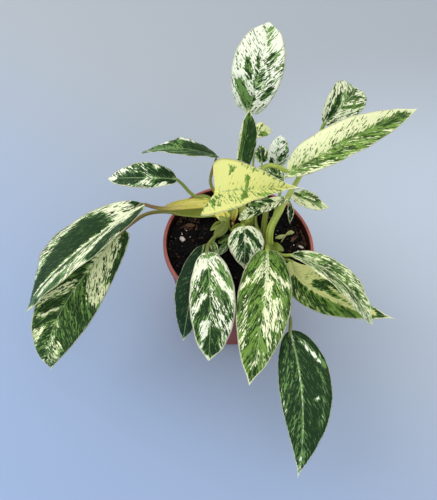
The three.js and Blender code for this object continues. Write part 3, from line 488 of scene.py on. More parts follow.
# The seedling's stem and seed leaves: points, and radii and wings at even steps along them
SEEDLING = [
    ([(34, 11, 90), (34, 11, 95), (36.5, 15.5, 98.5)], (0.6, 0.6, 0.5, 0.5), (0, 0, 0, 0)),
    ([(36.5, 15.5, 98.5), (39.5, 18, 99.2), (43, 19.5, 98.5)], (0.5, 0.45, 0.4, 0.3), (0, 1, 1.4, 0.2)),
    ([(36.5, 15.5, 98.5), (32.5, 13, 98.2), (28.5, 12, 97)], (0.5, 0.45, 0.4, 0.3), (0, 1, 1.4, 0.2)),
]


def shade(code):
    """Linear colour of a hex code such as c8d4a0"""
    values = [int(code[i:i + 2], 16) / 255 for i in (0, 2, 4)]
    return tuple(v / 12.92 if v <= 0.04045 else ((v + 0.055) / 1.055) ** 2.4 for v in values)


def colour(name, code, description):
    """A colour setting whose default is a hex code"""
    return bpy.props.FloatVectorProperty(
        name=name, description=description, subtype="COLOR", size=3, min=0, max=1, default=shade(code))


def amount(name, default, description, **kinds):
    """A number setting, with the subtype or unit that fits"""
    return bpy.props.FloatProperty(name=name, description=description, min=0, default=default, **kinds)


def length(name, default, description):
    """A length setting in metres"""
    return amount(name, default, description, subtype="DISTANCE", unit="LENGTH", precision=5)


def grain_size(name, default, description):
    """A setting of the length and width of a grain along and across the side veins, in metres"""
    return bpy.props.FloatVectorProperty(
        name=name, description=description, size=2, unit="LENGTH", min=0, precision=5, default=default)


def spot(name, default, description):
    """A place setting in metres"""
    return bpy.props.FloatVectorProperty(
        name=name, description=description, subtype="TRANSLATION", unit="LENGTH", default=default)


def whole(name, default, description):
    """A setting that counts something"""
    return bpy.props.IntProperty(name=name, description=description, min=1, default=default)


class BladeSettings(bpy.types.PropertyGroup):
    """Sizes and colours of the leaf blades"""

    thickness: length("Thickness", 0.0006, "Thickness of a blade at its midrib")
    pleat_depth: length("Pleat Depth", 0.00022, "Rise of the blade between two side veins")
    pleat_width: length("Pleat Width", 0.0042, "Distance from one side vein to the next")
    groove_depth: length("Groove Depth", 0.0007, "Depth of the groove over the midrib")
    ripple: length("Edge Ripple", 0.0005, "Height of the small waves along the margin")
    rows: whole("Rows", 56, "Rows of points from the base of a blade to its tip")
    columns: whole("Columns", 9, "Columns of points from the midrib to the margin")
    splash: grain_size("Splash", (0.024, 0.0048), "Length and width of the largest markings")
    dash: grain_size("Dash", (0.0095, 0.0021), "Length and width of the dashes")
    fleck: grain_size("Fleck", (0.0040, 0.0012), "Length and width of the flecks")
    speck: grain_size("Speck", (0.0017, 0.0007), "Length and width of the smallest specks")
    thread: grain_size("Thread", (0.0070, 0.0006), "Length and width of the pale threads")
    white: colour("White", "f3f7e8", "The whitest skin")
    cream: colour("Cream", "f1f4c4", "Skin of the cream leaves")
    yellow: colour("Yellow", "d0ce63", "Skin of the yellow leaf")
    pale_green: colour("Pale Green", "a8c283", "Thin green over the skin")
    cool_green: colour("Cool Green", "5c8450", "Green of the bluish leaves")
    warm_green: colour("Warm Green", "7a9c38", "Green of the yellowish leaves")
    dark_green: colour("Dark Green", "133018", "Dark green of the bluish leaves")
    moss_green: colour("Moss Green", "294612", "Dark green of the yellowish leaves")
    rust: colour("Rust", "a8431f", "Foot of the youngest leaf")


class StalkSettings(bpy.types.PropertyGroup):
    """Sizes and colours of the stalks and stems"""

    sides: whole("Sides", 18, "Points round a stalk")
    ring_step: length("Ring Step", 0.0022, "Distance from one ring of points to the next")
    lime: colour("Lime", "a8b84a", "Light yellow-green stalks")
    grass: colour("Grass", "84993a", "Green stalks")
    gold: colour("Gold", "eee25e", "Golden sheaths")
    olive: colour("Olive", "8c9a38", "Olive sheaths")
    moss: colour("Moss", "707a2c", "Dark olive stalks")
    umber: colour("Umber", "86683c", "Brownish stalks")
    rust: colour("Rust", "a8431f", "Red foot of the youngest leaf")
    amber: colour("Amber", "d9933f", "Orange top of the youngest leaf")


class PotSettings(bpy.types.PropertyGroup):
    """Sides and colours of the nursery pot"""

    sides: whole("Sides", 160, "Points round the pot")
    clay: colour("Clay", "943c30", "Colour of the plastic")
    # Partly rubbed wear, partly a painted highlight on the rolled rim
    scuff_and_highlight: colour("Scuff", "c07064", "Colour where the rim is rubbed")
    # Partly peat stain, partly painted shade on the inside of the wall
    peat_stain_and_shade: colour("Stain", "160d0b", "Peat that sticks to the inside of the wall")


class MixSettings(bpy.types.PropertyGroup):
    """Grain and colours of the potting mix"""

    rings: whole("Rings", 84, "Rings of points over the surface")
    sides: whole("Sides", 240, "Points in each ring")
    clod: length("Clod Height", 0.0016, "Height of the clods")
    crumbs: whole("Crumbs", 1500, "Loose crumbs of peat")
    chips: whole("Chips", 150, "Small brown chips of bark")
    specks: whole("Specks", 60, "Small white specks of perlite")
    seed: whole("Seed", 7, "Seed of every random draw")
    peat: colour("Peat", "0d0b0b", "Moist peat")
    peat_light: colour("Dry Peat", "45342a", "Drier crumbs of peat")
    bark: colour("Bark", "6d4c35", "Chips of bark")
    perlite: colour("Perlite", "e4d6ca", "White grit")
    seedling: colour("Seedling", "bcc070", "Seed leaves")


class StageSettings(bpy.types.PropertyGroup):
    """Floor, light and camera"""

    floor: colour("Floor", "a9b0b6", "Pale grey of the floor")
    floor_deep: colour("Deep Floor", "94a9ca", "Bluer floor in front")
    # A pool of light painted on the floor beside the pot
    floor_painted_glow: colour("Light Floor", "bcc7d3", "Lighter floor beside the pot")
    sky: colour("Sky", "f3f6fb", "Colour of the soft light from all round")
    sky_strength: amount("Sky Strength", 0.97, "Strength of the light from all round")
    key_power: amount("Key Power", 6, "Power of the large soft lamp", subtype="POWER")
    fill_power: amount("Fill Power", 3, "Power of the lamp opposite", subtype="POWER")
    key_place: spot("Key Place", (-0.95, -0.1, 0.8), "Where the large lamp hangs")
    fill_place: spot("Fill Place", (0.35, -0.95, 1.2), "Where the lamp opposite hangs")
    camera_place: spot("Camera Place", (0.0, -0.2523, 0.4474), "Where the camera stands")
    camera_turn: bpy.props.FloatVectorProperty(
        name="Camera Turn", description="Tilt, roll and heading of the camera", subtype="EULER",
        unit="ROTATION", default=[math.radians(a) for a in (34.69, -3.65, 8.76)])
    focal_length: amount("Focal Length", 38.88, "Focal length of the camera in millimetres", unit="CAMERA")


SETTINGS = {
    "philodendron_blades": BladeSettings,
    "philodendron_stalks": StalkSettings,
    "philodendron_pot": PotSettings,
    "philodendron_mix": MixSettings,
    "philodendron_stage": StageSettings,
}


def unit(v):
    """Directions of length 1"""
    return v / np.maximum(np.linalg.norm(v, axis=-1, keepdims=True), 1e-12)


def square_to(v, axis):
    """The share of a direction that is square to each axis, made length 1"""
    return unit(v - np.sum(v * axis, axis=-1, keepdims=True) * axis)


def eased(x):
    """The smooth step from 0 to 1: three times the square less twice the cube"""
    return x * x * (3 - 2 * x)


def between(a, b, share):
    """Values from a to b by a share for each point"""
    share = share[:, None]
    return np.array(a) * (1 - share) + np.array(b) * share


def run_along(points):
    """Distance from the first point to each, along the line through them"""
    return np.concatenate([[0], np.cumsum(np.linalg.norm(np.diff(points, axis=0), axis=1))])


def midrib(leaf, u):
    """Points and tangents of the parabola through the base, the middle point and the tip"""
    a, b = leaf["base"], leaf["tip"]
    c = 2 * leaf["mid"] - (a + b) / 2
    u = np.asarray(u)[..., None]
    return (1 - u) ** 2 * a + 2 * u * (1 - u) * c + u ** 2 * b, unit((1 - u) * (c - a) + u * (b - c))


def rib_length(leaf):
    """Length of the midrib, as the sum of 200 short steps"""
    return run_along(midrib(leaf, np.linspace(0, 1, 201))[0])[-1]


def face_at(leaf, u, tangent):
    """The face direction square to the midrib, turning from face to face1 along the blade"""
    first, last = np.array([leaf["face"], leaf.get("face1", leaf["face"])], float)
    return square_to(first + (last - first) * u[..., None], tangent)


def outline(leaf, t):
    """Half width at t as a share of the widest: t to the swell times 1 - t to the taper

    Over the last share of the blade it is drawn in, so that the blade ends in a small point.
    """
    swell, taper = leaf["swell"], leaf["taper"]
    widest = swell / (swell + taper)
    peak = widest ** swell * (1 - widest) ** taper
    pinch = TIP_PINCH * eased(np.clip((t - 1 + TIP_SHARE) / TIP_SHARE, 0, 1))
    return t ** swell * (1 - t) ** taper / peak * (1 - pinch)


def vein_foot(t):
    """Where on the midrib the side vein that reaches the margin at t starts"""
    return t - VEIN_SLANT * t * (1 - t)


def spread(leaf, t, side):
    """Share of the midrib, width and share of the half for places on a blade"""
    q = np.abs(side)
    width = q * np.where(side < 0, *leaf["half"]) * outline(leaf, t)
    margin = t - leaf["lobe"] * (t / LOBE_AT) * np.exp(1 - t / LOBE_AT)
    return vein_foot(t) * (1 - q) + margin * q, width, q


def blade_points(leaf, t, side):
    """The blade's middle surface over t, from base to tip, and side, from -1 over the midrib to 1

    Each point lies on the midrib's parabola, moved out by its width along a direction that rises by
    the blade's fold, with a sine wave of the margin's height across the face.
    """
    u, width, q = spread(leaf, t, side)
    on = np.clip(u, 0, 1)
    point, tangent = midrib(leaf, on)
    up = face_at(leaf, on, tangent)
    fold = leaf["fold"]
    rise = np.radians(fold[0] + (fold[1] - fold[0]) * on - MARGIN_DROOP * q)
    turns = WAVE_COUNT * t + WAVE_SHIFT * np.sign(side)
    wave = leaf["wave"] * q ** 2 * np.sin(2 * np.pi * turns) * np.sin(np.pi * t)
    behind = np.minimum(u, 0) * rib_length(leaf)
    point = point + tangent * behind[..., None]
    point = point + np.cross(tangent, up) * (np.sign(side) * width * np.cos(rise))[..., None]
    return point + up * (width * np.sin(rise) + wave)[..., None]


def flat_place(leaf, t, side):
    """A place on the blade laid flat: the distance off the midrib and the distance along it"""
    u, width, _ = spread(leaf, t, side)
    return np.sign(side) * width, u * rib_length(leaf)


def vein_place(leaf, t, side):
    """Distance along a side vein and across to the next, in metres

    A vein leaves the midrib and climbs by the rise, and a little more near the margin, for each step
    outwards.
    """
    off, run = flat_place(leaf, t, side)
    slant = math.hypot(1, leaf["rise"])
    return off * slant, (run - leaf["rise"] * np.abs(off) * (1 + VEIN_LIFT * np.abs(side))) / slant


class Surface:
    """Points, faces and values at the points of one closed surface"""

    def __init__(self, points, quads, tris=(), values=None, veins=None, slot=0):
        self.points = np.asarray(points, float).reshape(-1, 3)
        self.quads = np.asarray(quads, int).reshape(-1, 4)
        self.tris = np.asarray(tris, int).reshape(-1, 3)
        self.values = values or {}
        self.veins = np.zeros((len(self.points), 2)) if veins is None else veins
        self.slot = slot


def grid_quads(rows, columns, wrap):
    """Quads between neighbouring rows of a grid of points, joined round where it wraps"""
    i, j = np.meshgrid(np.arange(rows - 1), np.arange(columns if wrap else columns - 1), indexing="ij")
    k = (j + 1) % columns
    corners = [i * columns + j, i * columns + k, (i + 1) * columns + k, (i + 1) * columns + j]
    return np.stack(corners, axis=-1).reshape(-1, 4)


def fan(pole, ring):
    """Triangles from a pole to each pair of neighbours in a row of points"""
    return np.stack([np.full(len(ring) - 1, pole), ring[:-1], ring[1:]], axis=-1)


def around(sides):
    """Angles at even steps round a ring"""
    return np.linspace(0, 2 * np.pi, sides, endpoint=False)


def capped(rings, ends, flip=False):
    """Points, quads and triangles of a row of rings, closed by a fan to a point at each end

    Flip turns the faces, for rings that wind the other way round.
    """
    rows, sides = rings.shape[:2]
    count, loop, quads = rows * sides, np.append(np.arange(sides), 0), grid_quads(rows, sides, True)
    if flip:
        loop, quads = loop[::-1], quads[:, ::-1]
    tris = np.vstack([fan(count, loop[::-1]), fan(count + 1, count - sides + loop)])
    return np.vstack([rings.reshape(-1, 3), ends]), quads, tris


class Path:
    """The smooth curve through a list of points, as a finely stepped line

    Between two points runs a cubic whose end slopes are half the step between the neighbours.
    """

    def __init__(self, points):
        given = np.array(points)
        p = np.vstack([2 * given[0] - given[1], given, 2 * given[-1] - given[-2]])
        run = np.linspace(0, len(given) - 1, PATH_STEPS * len(given))
        k = np.minimum(run.astype(int), len(given) - 2)
        w = (run - k)[:, None]
        before, here, there, after = (p[k + n] for n in range(4))
        start, end = (there - before) / 2, (after - here) / 2
        line = here + start * w + (3 * (there - here) - 2 * start - end) * w ** 2
        self.line = line + (2 * (here - there) + start + end) * w ** 3
        self.run = run_along(self.line)
        self.length = self.run[-1]

    def at(self, shares, face):
        """Points, tangents and up directions at shares of the length, up being nearest to a face"""
        slope = np.gradient(self.line, self.run, axis=0)
        point, tangent = (
            np.stack([np.interp(shares * self.length, self.run, column) for column in field.T], axis=-1)
            for field in (self.line, slope))
        return point, unit(tangent), square_to(face, unit(tangent))


def tube(frames, radii, wings, sides, tones, slot=0):
    """A closed tube: an ellipse of half width radius plus wing and half height radius on each centre

    The sides bend up with the square of the cosine, like the channel of a leaf sheath.
    """
    centres, tangents, ups = frames
    turn = around(sides)
    r, w = radii[:, None], wings[:, None]
    x = (r + w) * np.cos(turn)
    thin = 1 - SHEATH_THINS * w / (r + w) * np.cos(turn) ** 2
    y = r * thin * np.sin(turn) + SHEATH_BEND * w * np.cos(turn) ** 2
    across = np.cross(tangents, ups)
    rings = centres[:, None] + across[:, None] * x[..., None] + ups[:, None] * y[..., None]
    run = run_along(centres)
    girth = np.tile(turn / (2 * np.pi) * GIRTH, len(centres))
    veins = np.vstack([np.stack([np.repeat(run, sides), girth], axis=-1), [(run[0], 0), (run[-1], 0)]])
    tone = np.vstack([np.repeat(tones, sides, axis=0), tones[[0, -1]]])
    return Surface(*capped(rings, centres[[0, -1]], flip=True), {"tone": tone}, veins, slot)


def turned(profile, sides, at=(0, 0)):
    """A surface turned round an upright axis from a profile of radius and height, its ends on the axis"""
    profile, turn = np.array(profile, float), around(sides)
    r, z = profile[1:-1, :1], profile[1:-1, 1:]
    rings = np.stack(np.broadcast_arrays(at[0] + r * np.cos(turn), at[1] + r * np.sin(turn), z), axis=-1)
    return Surface(*capped(rings, [(*at, profile[0, 1]), (*at, profile[-1, 1])]))


def put_in_scene(name, data):
    """A new object of the scene"""
    thing = bpy.data.objects.new(name, data)
    bpy.context.scene.collection.objects.link(thing)
    return thing


def make_piece(name, surfaces, materials, nodes=()):
    """One object of several closed surfaces that rides on the root body in place of CAD nodes"""
    mesh = bpy.data.meshes.new(name)
    first = np.cumsum([0] + [len(s.points) for s in surfaces])
    faces, slots = [], []
    for start, surface in zip(first, surfaces):
        part = (surface.quads + start).tolist() + (surface.tris + start).tolist()
        faces += part
        slots += [surface.slot] * len(part)
    mesh.from_pydata(np.vstack([s.points for s in surfaces]).tolist(), [], faces)
    mesh.polygons.foreach_set("material_index", slots)
    corner = np.empty(len(mesh.loops), np.int32)
    mesh.loops.foreach_get("vertex_index", corner)
    veins = np.vstack([s.veins for s in surfaces])
    mesh.uv_layers.new(name="veins").data.foreach_set("uv", veins[corner].astype(np.float32).ravel())
    for key in sorted({k for s in surfaces for k in s.values}):
        shape, kind, field = ((3,), "FLOAT_VECTOR", "vector") if key == "tone" else ((), "FLOAT", "value")
        value = np.concatenate([s.values.get(key, np.zeros((len(s.points), *shape))) for s in surfaces])
        mesh.attributes.new(key, kind, "POINT").data.foreach_set(field, value.astype(np.float32).ravel())
    for material in materials:
        mesh.materials.append(material)
    mesh.shade_smooth()
    mesh.update()
    piece = put_in_scene(name, mesh)
    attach(piece, "root")
    if nodes:
        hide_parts(*nodes)
    return piece


def tone_levels(name):
    """The levels of green and dark at which a tone's shares of the noise pass the middle"""
    share = np.array(TONES[name])
    return 0.5 + SHARE_SPREAD * np.log(share / (1 - share))


def marking_levels(leaf, t, side):
    """Green and dark level at places on a blade

    From the ground tone, each mark pulls the levels to its own tone near a straight stroke on the
    blade laid flat, with a soft edge at its half width.
    """
    size = rib_length(leaf)
    here = np.stack(flat_place(leaf, t, side), axis=-1)
    levels = np.broadcast_to(tone_levels(leaf["ground"]), t.shape + (2,)).copy()
    for tone, *stroke, half_width in leaf["marks"]:
        start, end = (np.stack(flat_place(leaf, *place)) for place in np.reshape(stroke, (2, 2)) / 100)
        stroke = end - start
        share = np.clip((here - start) @ stroke / max(stroke @ stroke, 1e-12), 0, 1)
        far = np.linalg.norm(here - start - share[..., None] * stroke, axis=-1) / (half_width / 100 * size)
        pull = 0.5 - 0.5 * np.tanh(MARK_EDGE * (far - 1))
        levels += pull[..., None] * (tone_levels(tone) - levels)
    return levels[..., 0], levels[..., 1]


def blade_surface(leaf, order, settings):
    """A thin closed sheet over the blade's middle surface

    Its face is pleated by a sine across the side veins, grooved over the midrib by a bell curve and
    rippled by a faster sine at the margin. Both faces meet at the margin, where the thickness ends.
    """
    rows, columns = settings.rows, settings.columns
    t = (0.5 - 0.5 * np.cos(np.pi * np.arange(1, rows) / rows))[:, None]
    half = (np.arange(1, columns + 1) / columns) ** COLUMN_CROWD
    t, side = np.broadcast_arrays(t, np.concatenate([-half[::-1], [0], half]))
    _, width, q = spread(leaf, t, side)
    middle = blade_points(leaf, t, side)
    normal = unit(np.cross(np.gradient(middle, axis=1), np.gradient(middle, axis=0)))
    along, across = vein_place(leaf, t, side)
    inner = (1 - q ** 3) * np.minimum(q / PLEAT_START, 1) * np.sin(np.pi * t) ** 0.5
    pleat = settings.pleat_depth * np.cos(2 * np.pi * across / settings.pleat_width) * inner
    groove = -settings.groove_depth * np.exp(-(width / GROOVE_WIDTH) ** 2) * (1 - t)
    fast = np.sin(2 * np.pi * (RIPPLE_COUNT * t + RIPPLE_SHIFTS[0] * order + RIPPLE_SHIFTS[1] * side))
    relief = pleat + settings.ripple * q ** 4 * fast * np.sin(np.pi * t)
    body = settings.thickness / 2 * (1 - q ** 6)
    top = middle + normal * (relief + groove + body)[..., None]
    low = middle + normal * (relief - body)[..., None]
    above = np.arange(t.size).reshape(t.shape)
    below = above.copy()
    below[:, 1:-1] = t.size + np.arange(below[:, 1:-1].size).reshape(len(t), -1)
    base = t.size + below[:, 1:-1].size
    tip = base + 1
    grid = grid_quads(*t.shape, False)
    quads = np.vstack([above.ravel()[grid], below.ravel()[grid][:, ::-1]])
    tris = np.vstack([
        fan(base, above[0][::-1]), fan(tip, above[-1]), fan(base, below[0]), fan(tip, below[-1][::-1])])

    def listed(field, low_field=None, base_value=0, tip_value=0):
        """A field over the top, the inside of the underside, the base and the tip"""
        low_field = field if low_field is None else low_field
        return np.concatenate([field.ravel(), low_field[:, 1:-1].ravel(), [base_value, tip_value]])

    def held(field):
        """A field over both faces whose ends carry on from the rows next to them"""
        return listed(field, None, field[0].mean(), field[-1].mean())

    green, dark = marking_levels(leaf, t, side)
    room = np.where(side < 0, *leaf["half"]) * outline(leaf, t) * (1 - q)
    under = np.zeros_like(t)
    under[:, 0] = under[:, -1] = 0.5
    values = {
        "rib": listed(width * 1000 / (1 - 0.6 * t)),
        "green": held(green),
        "dark": held(dark),
        "margin": listed(room - leaf["edge"]) * 1000,
        "under": listed(under, np.ones_like(t), 0.5, 0.5),
        "warm": np.full(tip + 1, leaf["warm"]),
        "lush": np.full(tip + 1, leaf["lush"]),
    }
    veins = np.stack([listed(along), held(across) + NOISE_SHIFT * order], axis=-1)
    points = np.vstack([top.reshape(-1, 3), low[:, 1:-1].reshape(-1, 3), leaf["base"], leaf["tip"]])
    return Surface(points, quads, tris, values, veins)


def stub_length(leaf):
    """Length of the stalk's top that belongs to the blade"""
    return STUBS[rib_length(leaf) > LONG_RIB]


def ridge_surface(leaf, tones, pale):
    """The top of the stalk, carried on below the blade as its midrib, ever thinner to the tip"""
    stalk = Path([*leaf["bends"], leaf["base"]])
    shares = 1 - np.linspace(*STUB_SPAN, STUB_RINGS) * stub_length(leaf) / stalk.length
    u = vein_foot(np.linspace(*RIB_SPAN, RIB_RINGS))
    rib, tangent = midrib(leaf, u)
    up = face_at(leaf, u, tangent)
    top_r = leaf["stalk"][1]
    radii = top_r * (1 - RIB_THINS * u)
    drop = (radii + RIB_SINK + RIB_DROP * (1 - u)) * eased(np.clip(u / RIB_SETTLES, 0, 1))
    joined = zip(stalk.at(shares, leaf["face"]), (rib - up * drop[:, None], tangent, up))
    radii = np.concatenate([np.full(STUB_RINGS, top_r), radii])
    share = np.concatenate([np.zeros(STUB_RINGS), np.clip(RIB_PALES * u, 0, 1)])
    return tube([np.vstack(pair) for pair in joined], radii, np.zeros_like(radii), RIB_SIDES,
                between(tones[1], pale, share), slot=1)


def stalk_surface(leaf, tones, settings, slot=0):
    """One stalk from its root point to where the blade's stub begins, with its sheath's wings

    The wings open over the first stretch, and draw in to the sheath's end as the square root of 1
    minus the cube of the share of the sheath passed. The foot is rounded off by a small dome.
    """
    path = Path([*leaf["bends"], leaf["base"]])
    end = 1 - stub_length(leaf) / path.length
    dome = np.radians(FOOT_DOME)
    round_off = slice(len(dome))
    t = np.append(np.zeros(len(dome)), np.linspace(0, 1, max(8, int(path.length / settings.ring_step))))
    centres, tangents, ups = path.at(t * end, leaf["face"])
    radii = leaf["stalk"][0] + (leaf["stalk"][1] - leaf["stalk"][0]) * t * end
    radii = radii * (1 + FOOT_FLARE * np.exp(-t / FLARE_REACH))
    centres[round_off] -= tangents[round_off] * (radii[0] * np.sin(dome))[:, None]
    wing, stop = leaf.get("sheath", (0, 1))
    opened = SHEATH_FOOT + (1 - SHEATH_FOOT) * np.minimum(t * end / SHEATH_FULL, 1)
    wings = mm(wing) * opened * np.sqrt(np.clip(1 - (t * end / stop) ** SHEATH_BLUNT, 0, 1))
    radii[round_off] *= np.cos(dome)
    wings[round_off] *= np.cos(dome)
    colours = between(*tones, t ** TONE_TURN)
    return tube((centres, tangents, ups), radii, wings, settings.sides, colours, slot)


def scale_surface(half_width, points, settings):
    """A papery scale at the foot of a shoot: a thin channel that widens, then narrows to its point"""
    t = np.linspace(0, 1, SCALE_RINGS)
    wings = mm(half_width) * np.sin(np.pi * (SCALE_FOOT + (1 - SCALE_FOOT) * t)) ** 0.8
    tones = between(settings.olive, settings.grass, t)
    frames = Path(mm(points)).at(t, (0.0, -0.3, 1.0))
    return tube(frames, np.full(len(t), SCALE_R), wings, SCALE_SIDES, tones)


def lattice(x, y, cell, seed):
    """Heights from 0 to 1: random values on a square lattice, blended smoothly between its points"""
    count = LATTICE_SIDE
    table = np.random.default_rng(seed).random((count, count))
    u, v = x / cell, y / cell
    i, j = np.floor(u).astype(int), np.floor(v).astype(int)
    a, b = eased(u - i), eased(v - j)
    near, far = (
        table[i % count, k % count] * (1 - a) + table[(i + 1) % count, k % count] * a for k in (j, j + 1))
    return near * (1 - b) + far * b


def pot_radius(z):
    """Radius of the pot's outside wall at a height"""
    return BASE_R + (RIM_R - LIP - BASE_R) * z / POT_H


def soil_height(x, y):
    """Height of the crumbled mix at a place, as three crossing swells with lengths in millimetres"""
    a, b = x * 1000, y * 1000
    swells = np.sin(a / 7.3 + 1.2) * np.cos(b / 6.1) + 0.7 * np.sin((a + b) / 3.9)
    return SOIL_Z + SOIL_SWELL * (swells + 0.5 * np.cos((a - 1.6 * b) / 2.7)) / 2


class Paint:
    """Builds one material: most methods add a node and return its output socket"""

    def __init__(self, name):
        self.material = bpy.data.materials.new(name)
        self.material.use_nodes = True
        self.tree = self.material.node_tree
        self.skin = next(n for n in self.tree.nodes if n.type == "BSDF_PRINCIPLED")

    def put(self, node, values):
        """Sets each input of a node to a constant, or links a socket to it"""
        for key, value in values.items():
            if isinstance(value, bpy.types.NodeSocket):
                self.tree.links.new(value, node.inputs[key])
            else:
                node.inputs[key].default_value = value

    def add(self, kind, values, out=0, **settings):
        """A node of a kind with its inputs and settings"""
        node = self.tree.nodes.new(f"ShaderNode{kind}")
        for key, value in settings.items():
            setattr(node, key, value)
        self.put(node, values)
        return node.outputs[out]

    def value(self, name, out="Fac"):
        """A number, or with out="Color" a colour, that the mesh holds at its points"""
        return self.add("Attribute", {}, out=out, attribute_name=name)

    def veins(self):
        """Distances along and across the veins or a stalk"""
        return self.add("UVMap", {}, uv_map="veins")

    def place(self):
        """Object coordinates"""
        return self.add("TexCoord", {}, out="Object")

    def axis(self, name):
        """The object coordinate along one axis"""
        return self.add("SeparateXYZ", {0: self.place()}, out=name)

    def noise(self, place, sizes, detail=2.0, roughness=0.5):
        """Noise whose grains have one size, or one along each axis"""
        sizes = sizes if isinstance(sizes, tuple) else (sizes,) * 3
        grains = self.add("Mapping", {"Vector": place, "Scale": tuple(1 / s for s in sizes)})
        values = {"Vector": grains, "Scale": 1.0, "Detail": detail, "Roughness": roughness}
        return self.add("TexNoise", values)

    def warped(self, place, size, reach):
        """A place moved about by slow noise, so that stripes on it waver"""
        drift = self.noise(place, (size, size / 2, 1), 1.0)
        shift = self.maths("MULTIPLY", self.maths("SUBTRACT", drift, 0.5), reach)
        move = self.add("CombineXYZ", {0: shift, 1: self.maths("MULTIPLY", shift, 0.5)})
        return self.add("VectorMath", {0: place, 1: move}, operation="ADD")

    def maths(self, operation, a, b):
        """One sum of two values"""
        return self.add("Math", {0: a, 1: b}, operation=operation)

    def field(self, level, *noises):
        """A level with noises added, each as a noise output and its strength"""
        for noise, strength in noises:
            swing = self.maths("MULTIPLY", self.maths("SUBTRACT", noise, 0.5), strength)
            level = self.maths("ADD", level, swing)
        return level

    def mix(self, share, a, b):
        """One colour over another by a share"""
        a, b = (c if isinstance(c, bpy.types.NodeSocket) else (*c, 1.0) for c in (a, b))
        return self.add("Mix", {0: share, 6: a, 7: b}, out=2, data_type="RGBA")

    def layers(self, skin, *layers):
        """Colours laid over a skin one after another

        Each shows where its value steps smoothly from low to high, at most by its share: a layer is a
        colour, a value, low, high and, where it isn't 1, the share.
        """
        for colour, value, low, high, *share in layers:
            values = {"Value": value, "From Min": low, "From Max": high}
            cover = self.add("MapRange", values, interpolation_type="SMOOTHSTEP")
            for part in share:
                cover = self.maths("MULTIPLY", cover, part)
            skin = self.mix(cover, skin, colour)
        return skin

    def bump(self, height, distance, strength):
        """A small relief of the surface"""
        return self.add("Bump", {"Height": height, "Distance": distance, "Strength": strength})

    def finish(self, **values):
        """Sets the shader's own inputs and returns the material"""
        self.put(self.skin, {key.replace("_", " "): value for key, value in values.items()})
        return self.material


def blade_material(settings):
    """White to yellow skin under pale, full and dark green layers

    Each green shows where its level and four noises, stretched along the side veins, pass a threshold.
    """
    paint = Paint("variegated_blade")
    grain = paint.warped(paint.veins(), 0.011, 0.0035)
    other = paint.add("Mapping", {"Vector": grain, "Location": (5.3, 2.7, 0)})
    sizes = [(*size, 1) for size in (settings.splash, settings.dash, settings.fleck, settings.speck)]
    green_noise, dark_noise = ([paint.noise(place, size, 1.0) for size in sizes] for place in (grain, other))
    strengths = (0.6, 1.3, 1.9, 1.0)
    green = paint.field(paint.value("green"), *zip(green_noise, strengths))
    dark = paint.field(paint.value("dark"), *zip(dark_noise, strengths))
    cloud = paint.noise(paint.place(), 0.012)
    warm, lush = paint.value("warm"), paint.value("lush")
    shaded = paint.field(cloud, (dark_noise[0], 0.8), (dark_noise[1], 0.5))
    deep = paint.mix(lush, settings.dark_green, settings.moss_green)
    full = paint.mix(lush, settings.cool_green, settings.warm_green)
    full = paint.layers(full, (deep, shaded, 0.4, 0.65, 0.6))
    pale = settings.pale_green
    threads = paint.noise(other, (*settings.thread, 1), 2.0)
    edge = paint.field(paint.value("margin"), (dark_noise[2], 1.2))
    fine = paint.noise(grain, (0.02, 0.0007, 1), 2.0)
    return paint.finish(
        Base_Color=paint.layers(
            settings.white,
            (settings.cream, warm, 0.0, 0.5),
            (settings.yellow, warm, 0.5, 1.0),
            (paint.mix(0.5, full, pale), green, 0.36, 0.48, 0.75),
            (full, green, 0.46, 0.56),
            (deep, dark, 0.46, 0.55),
            (pale, threads, 0.58, 0.70, 0.32),
            (pale, paint.value("rib"), 0.9, 0.35, 0.45),
            (settings.cream, edge, 0.12, -0.12, 0.85),
            (pale, paint.value("under"), 0.45, 0.55, 0.3),
        ),
        Roughness=paint.field(0.46, (cloud, 0.25), (fine, 0.1)),
        Normal=paint.bump(fine, 0.00012, 0.6),
        Specular_IOR_Level=0.12,
        Subsurface_Weight=0.1, Subsurface_Radius=(0.6, 1.0, 0.3), Subsurface_Scale=0.0012,
    )


def young_material(settings):
    """Rust to yellow skin of the youngest leaf, streaked along its length"""
    paint = Paint("young_blade")
    streaks = paint.noise(paint.veins(), (0.01, 0.0006, 1), 2.0)
    height = paint.field(paint.axis("Z"), (streaks, 0.008))
    return paint.finish(
        Base_Color=paint.layers(settings.rust, (settings.yellow, height, 0.097, 0.109)),
        Roughness=paint.field(0.42, (streaks, 0.2)),
        Subsurface_Weight=0.1, Subsurface_Scale=0.001,
    )


def stalk_material():
    """The stalk's own tones with lengthwise streaks and lines and small darker flecks"""
    paint = Paint("stalk_skin")
    veins, tone = paint.veins(), paint.value("tone", out="Color")
    streaks = paint.noise(veins, (0.025, 0.0006, 1), 3.0)
    lines = paint.noise(veins, (0.05, 0.0014, 1), 2.0)
    flecks = paint.noise(veins, (0.003, 0.0008, 1), 2.0)
    lighter, darker = (
        paint.add("HueSaturation", {"Value": value, "Saturation": depth, "Color": tone})
        for value, depth in ((1.25, 0.9), (0.55, 1.1)))
    return paint.finish(
        Base_Color=paint.layers(tone, (lighter, streaks, 0.38, 0.66), (darker, lines, 0.53, 0.58, 0.7),
                                (darker, flecks, 0.56, 0.72, 0.6)),
        Roughness=paint.field(0.42, (flecks, 0.3)),
        Normal=paint.bump(streaks, 0.0002, 0.7),
        Subsurface_Weight=0.1, Subsurface_Radius=(0.7, 1.0, 0.3), Subsurface_Scale=0.001,
    )


